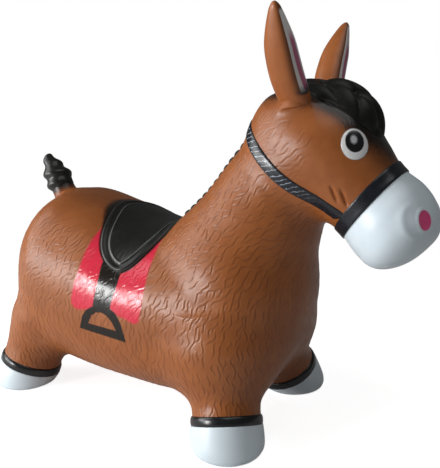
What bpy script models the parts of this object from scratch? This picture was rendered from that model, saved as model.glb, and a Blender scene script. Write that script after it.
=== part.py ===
"""Ride-on bouncing horse: an inflatable moulded toy, divided where its mould and its paint masks divide it.

Metres, +Z up, nose towards +X, the horse's left side towards +Y, hooves standing on z = 0.
The forms are worked out about the point midway between the four feet. At the end one empty, which carries
everything, moves the toy so that its box is centred over the origin.
"""

import math
from functools import partial

import bmesh
import bpy
import numpy as np
from mathutils import Vector
from mathutils.bvhtree import BVHTree

# Fits, used wherever two pieces meet
GAP = 0.0003
SINK = 0.004
REACH = 0.300
POLE_SIZE = 0.00001

# Every closed end rounds off with this exponent: 2 is an ellipse, more is blunter
END_BLUNTNESS_SHARE = 2.5

# An axis counts as lying along X where its X component is over this
ALONG_X_SHARE = 0.9

# Torso: a barrel with a high rump, a dip for the rider and a deep chest
TORSO_AXIS_Z = 0.160
TORSO_LENGTH = 0.429
TORSO_REAR_SHARE = -0.4569
TORSO_REAR_X = TORSO_REAR_SHARE * TORSO_LENGTH
TORSO_DEPTH = 0.120
TORSO_WIDTH = 0.236
TORSO_SQUARENESS_SHARE = 2.5
TORSO_PEAR_SHARE = 0.09
RUMP_CAP = 0.085
CHEST_CAP = 0.070
TORSO_SHARES = (
    (0.00, 0.86, -0.76, 0.97),
    (0.15, 0.985, -0.97, 1.01),
    (0.32, 0.870, -1.06, 1.02),
    (0.50, 0.695, -1.08, 1.01),
    (0.66, 0.70, -1.08, 0.99),
    (0.85, 0.79, -0.99, 0.89),
    (1.00, 0.58, -0.69, 0.72),
)

# Neck: a thick cone that leans forward out of the chest
NECK_FOOT_ALONG_SHARE = 0.7483
NECK_FOOT_LIFT_SHARE = 0.1667
NECK_FOOT_X = TORSO_REAR_X + NECK_FOOT_ALONG_SHARE * TORSO_LENGTH
NECK_FOOT_Z = TORSO_AXIS_Z + NECK_FOOT_LIFT_SHARE * TORSO_DEPTH
NECK_PITCH = math.radians(61)
NECK_LENGTH = 0.200
NECK_DEPTH = 0.100
NECK_WIDTH = 0.190
NECK_SQUARENESS_SHARE = 2.1
NECK_FOOT_CAP = 0.040
NECK_HEAD_CAP = 0.030
NECK_FILLET = 0.034
NECK_SHARES = (
    (0.00, 0.91, -0.90, 0.90),
    (0.22, 0.88, -0.90, 0.91),
    (0.45, 0.76, -0.78, 0.80),
    (0.68, 0.68, -0.66, 0.66),
    (1.00, 0.52, -0.60, 0.58),
)

# Head: one outline from the poll to the lips, divided at the noseband; it sits on the neck's top end
HEAD_BACK_SETBACK = 0.044
HEAD_BACK_RISE = 0.051
HEAD_BACK_X = NECK_FOOT_X + NECK_LENGTH * math.cos(NECK_PITCH) - HEAD_BACK_SETBACK
HEAD_BACK_Z = NECK_FOOT_Z + NECK_LENGTH * math.sin(NECK_PITCH) + HEAD_BACK_RISE
HEAD_PITCH = math.radians(-38)
HEAD_LENGTH = 0.247
HEAD_DEPTH = 0.066
HEAD_WIDTH = 0.124
HEAD_SQUARENESS_SHARE = 2.15
POLL_CAP = 0.055
LIP_CAP = 0.042
HEAD_SHARES = (
    (0.00, 0.36, -0.86, 0.80),
    (0.16, 0.65, -0.96, 0.92),
    (0.36, 0.94, -1.00, 1.00),
    (0.56, 0.75, -0.89, 0.87),
    (0.68, 0.61, -0.87, 0.78),
    (0.80, 0.62, -0.95, 0.86),
    (0.90, 0.54, -0.95, 0.86),
    (1.00, 0.43, -0.85, 0.76),
)
NOSEBAND_SHARE = 0.68
NOSEBAND_ALONG = NOSEBAND_SHARE * HEAD_LENGTH
NOSEBAND_WIDTH = 0.014
STRAP_THICKNESS = 0.0014

# Cheek strap: from the noseband along each jaw and over the crest
# Its ends lie at shares of the head's length and depth
CHEEK_STRAP_WIDTH = 0.009
CHEEK_STRAP_CREST_SHARES = (-0.0154, -0.468)
CHEEK_STRAP_CHIN_SHARES = (0.698, -0.4395)
CHEEK_STRAP_SPAN = math.radians(150)
CHEEK_STRAP_SAG = 0.010

# Legs and feet: each foot is a tilted cuff over a hoof with a flat sole
FOOT_ALONG_SHARE = 0.3916
FOOT_ASIDE_SHARE = 0.3665
FOOT_X = FOOT_ALONG_SHARE * TORSO_LENGTH
FOOT_Y = FOOT_ASIDE_SHARE * TORSO_WIDTH
CUFF_Z = 0.0285
CUFF_RADIUS = 0.0440
CUFF_WIDTH = 0.0105
CUFF_THICKNESS = 0.0042
CUFF_ROUNDING = 0.0020
SOLE_SHIFT_SHARE = 1.0
FRONT_FORWARD_TILT = math.radians(16)
FRONT_OUTWARD_TILT = math.radians(23)
REAR_BACKWARD_TILT = math.radians(15)
REAR_OUTWARD_TILT = math.radians(15)
LEG_LENGTH = 0.110
LEG_FOOT_RADIUS = CUFF_RADIUS - CUFF_THICKNESS - GAP
LEG_FILLET = 0.030
FRONT_LEG_SHARES = ((0.00, 1.00), (0.10, 0.99), (0.25, 1.05), (0.45, 1.32), (0.70, 1.62), (1.00, 1.60))
REAR_LEG_SHARES = ((0.00, 1.00), (0.10, 1.00), (0.25, 1.04), (0.45, 1.13), (0.70, 1.20), (1.00, 0.85))
HOOF_WALL_SHARES = (
    (0.00, 0.000),
    (0.25, -0.025),
    (0.50, -0.040),
    (0.72, -0.030),
    (0.88, 0.025),
    (0.97, 0.110),
    (1.00, 0.200),
)

# Ears: leaves with a hollow front, each on a ball seated in the head
EAR_FOOT_SHARES = (0.1640, 0.518)
EAR_ASIDE_SHARE = 0.395
EAR_OUTWARD_TILT = math.radians(31)
EAR_BACKWARD_TILT = math.radians(2)
EAR_LENGTH = 0.105
EAR_WIDTH = 0.050
EAR_THICKNESS = 0.030
EAR_BALL_RADIUS = 0.0165
EAR_SWING = math.radians(15)
EAR_FRONT_SHARE = 0.74
EAR_HOLLOW_SHARE = 0.55
EAR_SHARES = (
    (0.00, 0.90, 0.0),
    (0.10, 0.88, 0.0),
    (0.22, 0.95, 0.5),
    (0.40, 1.00, 1.0),
    (0.60, 0.93, 1.0),
    (0.80, 0.66, 0.9),
    (0.93, 0.34, 0.5),
)
EAR_TIP_CAP = 0.012

# Tail: a brown dock on a ball seated in the rump, and a twisted black lock
DOCK_ALONG_SHARE = 0.0909
DOCK_LIFT_SHARE = 0.80
DOCK_X = TORSO_REAR_X + DOCK_ALONG_SHARE * TORSO_LENGTH
DOCK_Z = TORSO_AXIS_Z + DOCK_LIFT_SHARE * TORSO_DEPTH
TAIL_LEAN = math.radians(31)
TAIL_SWING = math.radians(15)
DOCK_RADIUS = 0.0190
DOCK_LENGTH = 0.026
DOCK_TOP_RADIUS = 0.0150
TAIL_LENGTH = 0.054
TAIL_RADIUS = 0.0200
TAIL_SHARES = (
    (0.00, 0.82),
    (0.18, 1.00),
    (0.42, 0.98),
    (0.66, 0.80),
    (0.84, 0.60),
    (1.00, 0.52),
)
TAIL_TIP_CAP = 0.010
TAIL_TURNS_SHARE = 1.5
TAIL_LOBE_SHARE = 0.17

# Hair on the head and neck
MANE_HALF_WIDTH = 0.008
MANE_HEIGHT = 0.0055
MANE_SCALLOPS = 11
MANE_SCALLOP_SHARE = 0.30
MANE_TOP_SHARE = 0.86
MANE_FOOT_SHARE = 0.20
FORELOCK_BACK = math.radians(128)
FORELOCK_FRONT = math.radians(4)
FORELOCK_SPREAD = math.radians(36)
FORELOCK_THICKNESS = 0.015
FORELOCK_CROWN_SHARE = 4
FORELOCK_CURLS_ALONG = 3
FORELOCK_CURLS_ACROSS = 1.5
FORELOCK_CURL_SHARE = 0.28
FORELOCK_CENTRE_SHARE = 0.3036
FORELOCK_FRONT_SHARE = 0.45
FORELOCK_RINGS = 7

# Saddle
SADDLE_MID_SHARE = 0.4126
SADDLE_HALF_SHARE = 0.1375
SADDLE_MID_X = TORSO_REAR_X + SADDLE_MID_SHARE * TORSO_LENGTH
SADDLE_HALF_LENGTH = SADDLE_HALF_SHARE * TORSO_LENGTH
SADDLE_DROP = math.radians(72)
SADDLE_THICKNESS = 0.0042
SADDLE_OUTLINE_SHARES = (
    (0.00, 1.00, 0.00),
    (0.12, 1.14, 0.24),
    (0.24, 1.22, 0.46),
    (0.36, 1.20, 0.68),
    (0.47, 1.05, 0.87),
    (0.56, 0.64, 1.00),
    (0.65, 0.25, 0.90),
    (0.75, -0.02, 0.74),
    (0.84, -0.20, 0.52),
    (0.91, -0.60, 0.27),
    (0.96, -0.86, 0.13),
    (1.00, -0.93, 0.00),
)
SADDLE_HEIGHT_SHARES = ((0.0, 0.57), (0.3, 0.57), (0.6, 0.57), (0.8, 0.50), (0.88, 0.92), (0.95, 1.0), (1.0, 0.35))

# Eyes
EYE_SHARES = (0.4291, 0.1667)
EYE_ANGLE = math.radians(34)
EYE_HALF_HEIGHT = 0.0165
EYE_HALF_WIDTH = 0.0155
EYE_DOME = 0.0016
EYE_UPWARD_SHARE = 0.4
EYE_DOME_SHARES = ((0.0, 1.0), (0.4, 0.93), (0.75, 0.72), (1.0, 0.39))

# Valve at the back of the rump
VALVE_SEAT_RADIUS = 0.0105
VALVE_SEAT_DEPTH = 0.0180
VALVE_FLANGE_RADIUS = 0.0140
VALVE_FLANGE_THICKNESS = 0.0014
VALVE_BORE_RADIUS = 0.0045
VALVE_BORE_DEPTH = 0.0165
PLUG_HEAD_RADIUS = 0.0095
PLUG_HEAD_THICKNESS = 0.0022
PLUG_SHANK_LENGTH = 0.0140
PLUG_TAPER_SHARE = 0.85

# Facets
TORSO_SIDES = 32
HEAD_SIDES = 28
LEG_SIDES = 24
SMALL_SIDES = 16
RING_STEP = 0.020
LEG_RINGS = 8
FILLET_ROUNDS = 5
LEAST_SLOPE_SHARE = 0.05
CAP_RINGS = 5
ROOM_RINGS = 7
EAR_RINGS = 9
TAIL_RINGS = 12
MANE_SIDES = 7
MANE_RINGS_PER_SCALLOP = 4
SHARP_ANGLE = math.radians(40)

# Colours
BROWN = (0.36, 0.135, 0.055, 1.0)
WHITE = (0.82, 0.86, 0.90, 1.0)
BLACK = (0.012, 0.012, 0.013, 1.0)
GREY = (0.55, 0.56, 0.57, 1.0)


def smooth_rows(rows, at):
    """Read a table of shares at the stations in at, on a curve that passes smoothly through its rows."""
    table = np.array(rows, float)
    x = table[:, 0]
    y = table[:, 1:]
    step = np.diff(x)[:, None]
    slope = np.diff(y, axis=0) / step
    inner = (slope[1:] * step[:-1] + slope[:-1] * step[1:]) / (step[1:] + step[:-1])
    tangent = np.vstack((slope[:1], inner, slope[-1:]))
    at = np.clip(np.asarray(at, float), x[0], x[-1])
    k = np.clip(np.searchsorted(x, at, side="right") - 1, 0, len(x) - 2)
    h = step[k]
    t = (at - x[k])[:, None] / h
    start = (2 * t**3 - 3 * t**2 + 1) * y[k] + (t**3 - 2 * t**2 + t) * h * tangent[k]
    return start + (3 * t**2 - 2 * t**3) * y[k + 1] + (t**3 - t**2) * h * tangent[k + 1]


def closing(along, length, back_cap, front_cap):
    """The share of its full section that a form keeps at each distance along, where its ends round off."""
    share = np.ones_like(along)
    for distance, cap in ((along, back_cap), (length - along, front_cap)):
        if cap:
            inside = np.clip(distance / cap, 0, 1)
            share *= (1 - (1 - inside) ** END_BLUNTNESS_SHARE) ** (1 / END_BLUNTNESS_SHARE)
    return share


def ring_stations(length, back_cap, front_cap, step):
    """Distances along a form where it has a ring: close together in the rounded ends, even between them."""
    turn = np.linspace(0, math.pi / 2, CAP_RINGS + 1)
    back = back_cap * (1 - np.cos(turn)) if back_cap else np.zeros(1)
    front = length - front_cap * (1 - np.cos(turn[::-1])) if front_cap else np.full(1, length)
    count = max(2, round((front[0] - back[-1]) / step) + 1)
    middle = np.linspace(back[-1], front[0], count)
    return np.concatenate((back[:-1], middle, front[1:]))


def signed_power(value, power):
    """Raise to a power and keep the sign, for superellipse sections."""
    return np.sign(value) * np.abs(value) ** power


def mid_plane(values):
    """Set values that are all but zero to zero, so that points of the mid-plane lie in it."""
    return np.where(np.abs(values) < POLE_SIZE, 0.0, values)


class Form:
    """A rounded form: superellipse sections carried along a straight axis in the mid-plane.

    The rows hold shares: the station along the length, the outline's top and bottom over the axis in shares of
    depth, and the half width in shares of half the width.
    """

    def __init__(self, start, pitch, length, depth, width, rows, squareness, back_cap, front_cap, pear=0.0):
        self.start = np.array((start[0], 0.0, start[1]))
        self.axis = np.array((math.cos(pitch), 0.0, math.sin(pitch)))
        self.up = np.array((-math.sin(pitch), 0.0, math.cos(pitch)))
        self.length = length
        self.depth = depth
        self.half_width = width / 2
        self.rows = rows
        self.power = 2 / squareness
        self.back_cap = back_cap
        self.front_cap = front_cap
        self.pear = pear

    def at(self, along, lift=0.0):
        """The point at a distance along the axis, and lifted off it in the mid-plane."""
        return self.start + along * self.axis + lift * self.up

    def rings(self, along, sides):
        """Rings of points, one for each distance in along."""
        along = np.asarray(along, float)
        top, bottom, side = smooth_rows(self.rows, along / self.length).T
        share = closing(along, self.length, self.back_cap, self.front_cap)
        angle = np.arange(sides) * 2 * math.pi / sides
        rise = signed_power(np.sin(angle), self.power)
        spread = signed_power(np.cos(angle), self.power) * (1 - self.pear * np.sin(angle))
        middle = (top + bottom) / 2 * share * self.depth
        reach = (top - bottom) / 2 * share * self.depth
        lift = middle[:, None] + reach[:, None] * rise
        out = mid_plane((side * share * self.half_width)[:, None] * spread)
        across = np.array((0.0, 1.0, 0.0))
        return (
            self.start
            + along[:, None, None] * self.axis
            + lift[..., None] * self.up
            + out[..., None] * across
        )

    def distance(self, points):
        """How far points lie outside the form, negative inside.

        The scale at which the section passes through a point is found by repeating scale times the point's share
        at that scale. Past a cap's start, the passed share of the cap joins in by the end bluntness. The distance
        is the length from the core to the point, times 1 less 1 over the scale.
        """
        offset = points - self.start
        along = offset @ self.axis
        lift = offset @ self.up
        aside = offset[:, 1]
        top, bottom, side = smooth_rows(self.rows, np.clip(along / self.length, 0, 1)).T
        middle = (top + bottom) / 2 * self.depth
        reach = (top - bottom) / 2 * self.depth
        scale = np.ones(len(points))
        for _ in range(FILLET_ROUNDS):
            rise = (lift / scale - middle) / reach
            lean = signed_power(np.clip(rise, -1, 1), 1 / self.power)
            spread = aside / (scale * self.half_width * side * (1 - self.pear * lean))
            share = np.abs(rise) ** (2 / self.power) + np.abs(spread) ** (2 / self.power)
            scale = np.maximum(scale * share ** (self.power / 2), POLE_SIZE)
        behind = np.clip(self.back_cap - along, 0, None)
        ahead = np.clip(along - self.length + self.front_cap, 0, None)
        passed = behind / self.back_cap + ahead / self.front_cap
        whole = (scale**END_BLUNTNESS_SHARE + passed**END_BLUNTNESS_SHARE) ** (1 / END_BLUNTNESS_SHARE)
        return np.sqrt(lift**2 + aside**2 + (behind + ahead) ** 2) * (1 - 1 / whole)

    def stations(self, begin=0.0, end=None):
        """Ring distances between begin and end, with a ring at each of the two."""
        end = self.length if end is None else end
        every = ring_stations(self.length, self.back_cap, self.front_cap, RING_STEP)
        inner = every[(every > begin + RING_STEP / 4) & (every < end - RING_STEP / 4)]
        first = every[:CAP_RINGS] if begin == 0 and self.back_cap else np.array((begin,))
        last = every[-CAP_RINGS:] if end == self.length and self.front_cap else np.array((end,))
        return np.unique(np.concatenate((first, inner, last)))


def mesh_of_rings(name, rings):
    """A closed mesh through rings of points; a ring of no size becomes a pole, and any other end a flat face."""
    bm = bmesh.new()
    rows = []
    for ring in rings:
        if np.ptp(ring, axis=0).max() < POLE_SIZE:
            rows.append([bm.verts.new(ring.mean(axis=0))])
        else:
            rows.append([bm.verts.new(point) for point in ring])
    sides = max(len(row) for row in rows)
    for near, far in zip(rows, rows[1:]):
        for k in range(sides):
            after = (k + 1) % sides
            if len(near) == 1:
                bm.faces.new((near[0], far[k], far[after]))
            elif len(far) == 1:
                bm.faces.new((near[after], near[k], far[0]))
            else:
                bm.faces.new((near[after], near[k], far[k], far[after]))
    for row in (rows[0], rows[-1]):
        if len(row) > 1:
            bm.faces.new(row)
    return finish_mesh(name, bm)


def mesh_of_loop(name, rings):
    """A closed mesh through rings of points whose last ring joins its first."""
    bm = bmesh.new()
    rows = [[bm.verts.new(point) for point in ring] for ring in rings]
    sides = len(rows[0])
    for near, far in zip(rows, rows[1:] + rows[:1]):
        for k in range(sides):
            after = (k + 1) % sides
            bm.faces.new((near[after], near[k], far[k], far[after]))
    return finish_mesh(name, bm)


def finish_mesh(name, bm):
    """Turn every face outwards, write the mesh and shade it smooth."""
    bmesh.ops.recalc_face_normals(bm, faces=bm.faces)
    mesh = bpy.data.meshes.new(name)
    bm.to_mesh(mesh)
    bm.free()
    mesh.shade_smooth()
    mesh.set_sharp_from_angle(angle=SHARP_ANGLE)
    return mesh


def plastic(name, colour, roughness):
    """Soft moulded plastic with its own paint colour."""
    material = bpy.data.materials.new(name)
    material.use_nodes = True
    shader = material.node_tree.nodes["Principled BSDF"]
    shader.inputs["Base Color"].default_value = colour
    shader.inputs["Roughness"].default_value = roughness
    shader.inputs["Metallic"].default_value = 0.0
    material.diffuse_color = colour
    return material


def add_piece(name, mesh, colour, roughness=0.42, pivot=None):
    """Put a finished mesh in the scene as one named piece, with its origin on its joint where it has one."""
    mesh.materials.append(plastic(name, colour, roughness))
    piece = bpy.data.objects.new(name, mesh)
    bpy.context.collection.objects.link(piece)
    if pivot is not None:
        set_origin(piece, pivot)
    return piece


def set_origin(piece, pivot):
    """Move a piece's origin to the pivot without moving the piece."""
    for vertex in piece.data.vertices:
        vertex.co -= Vector(pivot)
    piece.location = pivot


def add_cutter(name, mesh, grow=0.0):
    """A hidden guide that cuts other pieces: the mesh, grown outwards along its normals."""
    bm = bmesh.new()
    bm.from_mesh(mesh)
    bm.normal_update()
    shifts = [vertex.normal * grow for vertex in bm.verts]
    for vertex, shift in zip(bm.verts, shifts):
        vertex.co += shift
        vertex.co.y = mid_plane(vertex.co.y)
    grown = bpy.data.meshes.new(name)
    bm.to_mesh(grown)
    bm.free()
    cutter = bpy.data.objects.new(name, grown)
    bpy.context.collection.objects.link(cutter)
    cutter.hide_render = True
    cutter.display_type = "WIRE"
    return cutter


def combine(piece, operation, others):
    """Add one live Boolean for each of the other objects."""
    for other in others:
        modifier = piece.modifiers.new(other.name, "BOOLEAN")
        modifier.operation = operation
        modifier.object = other


def cut(piece, *cutters):
    """Cut each cutter's shape out of a piece."""
    combine(piece, "DIFFERENCE", cutters)


def join(piece, *others):
    """Join other shapes to a piece as one body."""
    combine(piece, "UNION", others)


def surface_tree(*meshes):
    """A search tree of the surfaces of several meshes."""
    points = []
    faces = []
    for mesh in meshes:
        first = len(points)
        points += [vertex.co.copy() for vertex in mesh.vertices]
        faces += [[first + k for k in face.vertices] for face in mesh.polygons]
    return BVHTree.FromPolygons(points, faces)


def outermost(tree, origin, direction):
    """The outermost point of the surfaces met on a ray from an inner origin."""
    way = Vector(direction).normalized()
    hit = tree.ray_cast(Vector(origin) + way * REACH, -way)[0]
    return np.array(hit)


def unit(vector):
    """The vector at length 1."""
    vector = np.asarray(vector, float)
    return vector / np.linalg.norm(vector)


def square_frame(axis):
    """Two unit vectors square to an axis, the first as near as it can be to +X, or to +Z where the axis is along X."""
    guide = np.array((0.0, 0.0, 1.0)) if abs(axis[0]) > ALONG_X_SHARE else np.array((1.0, 0.0, 0.0))
    first = unit(guide - np.dot(guide, axis) * axis)
    return first, np.cross(axis, first)


def circle(centre, axis, radius, sides):
    """Points of a circle about an axis."""
    first, second = square_frame(axis)
    angle = np.arange(sides) * 2 * math.pi / sides
    around = np.cos(angle)[:, None] * first + np.sin(angle)[:, None] * second
    return centre + np.asarray(radius)[..., None] * around if np.ndim(radius) else centre + radius * around


def turned(name, centre, axis, profile, sides):
    """A turned solid: circles at (distance along the axis, radius) for each point of the profile."""
    return mesh_of_rings(name, [circle(centre + along * axis, axis, radius, sides) for along, radius in profile])


def turned_ring(name, centre, axis, profile, sides):
    """A turned ring, whose profile is a closed outline clear of the axis."""
    return mesh_of_loop(name, [circle(centre + along * axis, axis, radius, sides) for along, radius in profile])


def ball_profile(radius, first, last, steps):
    """Points of a ball's outline as (distance along, radius), between two angles from its lower pole."""
    angles = np.linspace(first, last, steps + 1)
    return [(-radius * math.cos(angle), radius * math.sin(angle)) for angle in angles]


def filleted(first, second, fillet):
    """The distances that two forms give together where a fillet of this size joins them.

    Each is the smaller one, less a quarter of the fillet times its share squared; the share falls from 1 where
    both distances are alike to 0 where they differ by the fillet.
    """
    share = np.clip(1 - np.abs(first - second) / fillet, 0, 1)
    return np.minimum(first, second) - share**2 * fillet / 4


def triangulate(mesh):
    """Split the faces into triangles, so that a piece and the cutters made from it have the same surface."""
    bm = bmesh.new()
    bm.from_mesh(mesh)
    bmesh.ops.triangulate(bm, faces=bm.faces)
    bm.to_mesh(mesh)
    bm.free()


def sloped(measure, points):
    """The distances that a measure gives at points, and how they change along each axis."""
    here = measure(points)
    return here, np.stack([(measure(points + GAP * axis) - here) / GAP for axis in np.eye(3)], axis=1)


def flow_out(mesh, own, others, kept=0):
    """Move a mesh's points onto the fillets to its neighbours.

    own measures distances from the mesh's own form; others pairs each neighbour's measure with its fillet. A
    point inside a neighbour rises straight off its own form, less and less with depth, so that both surfaces run
    on until they cross. The first points, as many as kept says, stay where they are.
    """

    def total(at):
        """The distance from the form and its fillets."""
        result = own(at)
        for measure, fillet in others:
            result = filleted(result, measure(at), fillet)
        return result

    points = np.array([vertex.co for vertex in mesh.vertices])
    free = np.arange(len(points)) >= kept
    depths = np.array([measure(points) for measure, fillet in others])
    fillets = np.array([fillet for measure, fillet in others])[:, None]
    inner = free & (depths.min(axis=0) < 0)
    rise = (fillets / 4 * np.clip(1 - np.abs(depths) / fillets, 0, 1) ** 2).max(axis=0)
    slope = sloped(own, points)[1]
    normal = slope / np.maximum(np.linalg.norm(slope, axis=1, keepdims=True), POLE_SIZE)
    points[inner] += (rise[:, None] * normal)[inner]
    outer = free & ~inner
    for _ in range(FILLET_ROUNDS):
        here, slope = sloped(total, points[outer])
        square = np.maximum((slope**2).sum(axis=1), LEAST_SLOPE_SHARE)
        points[outer] -= (here / square)[:, None] * slope
    points[:, 1] = mid_plane(points[:, 1])
    for vertex, point in zip(mesh.vertices, points):
        vertex.co = point
    triangulate(mesh)


def draped(name, tree, origins, directions, top, rim_sink):
    """A patch laid on a surface: rays from inner origins find it, the top stands off it, the base is sunk in it.

    origins and directions run over rings from the patch's middle to its rim; top is the height at each point.
    """
    outer = []
    inner = []
    for ring_origins, ring_directions, heights in zip(origins, directions, top):
        hits = [outermost(tree, o, d) for o, d in zip(ring_origins, ring_directions)]
        ways = [unit(d) for d in ring_directions]
        outer.append(np.array([hit + way * height for hit, way, height in zip(hits, ways, heights)]))
        inner.append(np.array([hit - way * rim_sink for hit, way in zip(hits, ways)]))
    return mesh_of_rings(name, outer + inner[::-1])


def swing_room(name, foot, axis, ball_radius, upper_radius, upper_height, swing):
    """A cutter for a ball and the cone on it, with room to swing both ways about an axis along Y through the ball."""
    first, second = square_frame(axis)
    angle = np.arange(LEG_SIDES) * 2 * math.pi / LEG_SIDES
    low = -ball_radius * math.sin(swing)
    rings = [
        circle(foot + along * axis, axis, radius, LEG_SIDES)
        for along, radius in ball_profile(ball_radius, 0.0, math.pi / 2 - swing, ROOM_RINGS)
    ]
    for height in np.linspace(0.0, upper_height, CAP_RINGS):
        share = min(1.0, (height - low) / upper_height)
        radius = ball_radius + (upper_radius - ball_radius) * share
        reach = max(ball_radius, radius / math.cos(swing) + height * math.tan(swing))
        across = max(ball_radius, radius)
        rim = reach * np.cos(angle)[:, None] * first + across * np.sin(angle)[:, None] * second
        rings.append(foot + height * axis + rim)
    return add_cutter(name, mesh_of_rings(name, rings), GAP)


# Body


def torso_form():
    """The barrel of the body."""
    return Form(
        (TORSO_REAR_X, TORSO_AXIS_Z),
        0.0,
        TORSO_LENGTH,
        TORSO_DEPTH,
        TORSO_WIDTH,
        TORSO_SHARES,
        TORSO_SQUARENESS_SHARE,
        RUMP_CAP,
        CHEST_CAP,
        TORSO_PEAR_SHARE,
    )


def neck_form():
    """The neck, from inside the chest to inside the head."""
    return Form(
        (NECK_FOOT_X, NECK_FOOT_Z),
        NECK_PITCH,
        NECK_LENGTH,
        NECK_DEPTH,
        NECK_WIDTH,
        NECK_SHARES,
        NECK_SQUARENESS_SHARE,
        NECK_FOOT_CAP,
        NECK_HEAD_CAP,
    )


def head_form():
    """The head and muzzle, from the poll to the lips."""
    return Form(
        (HEAD_BACK_X, HEAD_BACK_Z),
        HEAD_PITCH,
        HEAD_LENGTH,
        HEAD_DEPTH,
        HEAD_WIDTH,
        HEAD_SHARES,
        HEAD_SQUARENESS_SHARE,
        POLL_CAP,
        LIP_CAP,
    )


def leg_meshes():
    """The four legs' meshes by place, before they flow into the torso, and the measures of their distances."""
    meshes = {}
    measures = {}
    for end, end_name, rows in ((1, "front", FRONT_LEG_SHARES), (-1, "rear", REAR_LEG_SHARES)):
        for side, side_name in ((1, "left"), (-1, "right")):
            place = f"{end_name}_{side_name}"
            shape = (cuff_centre(end, side), leg_axis(end, side), rows)
            meshes[place] = leg(f"leg_{place}", *shape)
            measures[place] = partial(leg_distance, *shape)
    return meshes, measures


def flow_together(torso_mesh, torso, neck_mesh, neck, leg_pieces, leg_measures):
    """Let the torso, the neck and the legs flow into each other, as one blown moulding does."""
    legs = [(measure, LEG_FILLET) for measure in leg_measures.values()]
    flow_out(torso_mesh, torso.distance, [(neck.distance, NECK_FILLET), *legs])
    flow_out(neck_mesh, neck.distance, [(torso.distance, NECK_FILLET)])
    for place, mesh in leg_pieces.items():
        flow_out(mesh, leg_measures[place], [(torso.distance, LEG_FILLET)], kept=2 * LEG_SIDES)


class Body:
    """The large forms, their grown cutters and the trees that draped pieces are laid on."""

    def __init__(self):
        torso = torso_form()
        neck = neck_form()
        head = head_form()
        self.torso_form = torso
        self.neck_form = neck
        self.head_form = head
        torso_mesh = mesh_of_rings("torso", torso.rings(torso.stations(), TORSO_SIDES))
        neck_mesh = mesh_of_rings("neck", neck.rings(neck.stations(), HEAD_SIDES))
        self.legs, leg_measures = leg_meshes()
        flow_together(torso_mesh, torso, neck_mesh, neck, self.legs, leg_measures)
        behind = np.append(head.stations(0.0, NOSEBAND_ALONG - NOSEBAND_WIDTH / 2), NOSEBAND_ALONG - GAP / 2)
        ahead = np.append(NOSEBAND_ALONG + GAP / 2, head.stations(NOSEBAND_ALONG + NOSEBAND_WIDTH / 2, HEAD_LENGTH))
        back_rings = head.rings(behind, HEAD_SIDES)
        front_rings = head.rings(ahead, HEAD_SIDES)
        head_mesh = mesh_of_rings("head", back_rings)
        muzzle_mesh = mesh_of_rings("muzzle", front_rings)
        whole_head = mesh_of_rings("whole_head", np.vstack((back_rings, front_rings)))
        self.torso_cutter = add_cutter("torso_room", torso_mesh, GAP)
        self.neck_cutter = add_cutter("neck_room", neck_mesh, GAP)
        self.head_cutter = add_cutter("head_room", whole_head, GAP)
        self.body_cutter = add_cutter("body_room", torso_mesh, GAP)
        join(self.body_cutter, self.neck_cutter, self.head_cutter)
        self.torso_tree = surface_tree(torso_mesh)
        self.head_tree = surface_tree(whole_head)
        self.tree = surface_tree(torso_mesh, neck_mesh, whole_head)
        self.torso = add_piece("torso", torso_mesh, BROWN)
        self.neck = add_piece("neck", neck_mesh, BROWN)
        self.head = add_piece("head", head_mesh, BROWN)
        self.muzzle = add_piece("muzzle", muzzle_mesh, WHITE)
        cut(self.neck, self.torso_cutter, self.head_cutter)


def noseband(form):
    """A raised band round the joint between head and muzzle, following their common outline."""
    half = NOSEBAND_WIDTH / 2
    chamfer = STRAP_THICKNESS / 2
    stations = (-half, -half + chamfer, half - chamfer, half, half, 0.0, -half)
    rises = (chamfer, STRAP_THICKNESS, STRAP_THICKNESS, chamfer, 0.0, 0.0, 0.0)
    rings = []
    for station, rise in zip(stations, rises):
        ring = form.rings([NOSEBAND_ALONG + station], HEAD_SIDES)[0]
        middle = ring.mean(axis=0)
        outward = ring - middle
        size = np.linalg.norm(outward, axis=1, keepdims=True)
        rings.append(middle + outward * (1 + (rise + GAP) / size))
    return mesh_of_loop("noseband", rings)


def noseband_room(form):
    """A cutter that takes everything in front of the noseband's rear face."""
    face = form.at(NOSEBAND_ALONG - NOSEBAND_WIDTH / 2 - GAP)
    profile = ((0.0, 0.0), (0.0, HEAD_WIDTH), (HEAD_LENGTH, HEAD_WIDTH), (HEAD_LENGTH, 0.0))
    return add_cutter("noseband_room", turned("noseband_room", face, form.axis, profile, SMALL_SIDES))


def head_at(body, shares):
    """The point at shares of the head's length along its axis and of its depth off it."""
    along, lift = shares
    return body.head_form.at(along * HEAD_LENGTH, lift * HEAD_DEPTH)


def cheek_strap(body):
    """A strip from one side of the noseband over the crest to the other, in a plane through both its ends."""
    crest, chin = (head_at(body, shares) for shares in (CHEEK_STRAP_CREST_SHARES, CHEEK_STRAP_CHIN_SHARES))
    back = unit(crest - chin)
    across = np.array((0.0, 1.0, 0.0))
    square = np.cross(across, back)
    middle = (crest + chin) / 2
    steps = 2 * HEAD_SIDES
    rings = []
    for angle in np.linspace(-CHEEK_STRAP_SPAN, CHEEK_STRAP_SPAN, steps + 1):
        way = math.cos(angle) * back + math.sin(angle) * across
        edges = []
        sag = CHEEK_STRAP_SAG * math.sin(angle) ** 2
        for side in (-CHEEK_STRAP_WIDTH / 2, CHEEK_STRAP_WIDTH / 2):
            edges.append(outermost(body.tree, middle + (side - sag) * square, way))
        low, high = edges
        rings.append(
            np.array(
                (
                    low - way * SINK,
                    low + way * STRAP_THICKNESS,
                    high + way * STRAP_THICKNESS,
                    high - way * SINK,
                )
            )
        )
    return mesh_of_rings("cheek_strap", rings)


# Legs


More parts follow.
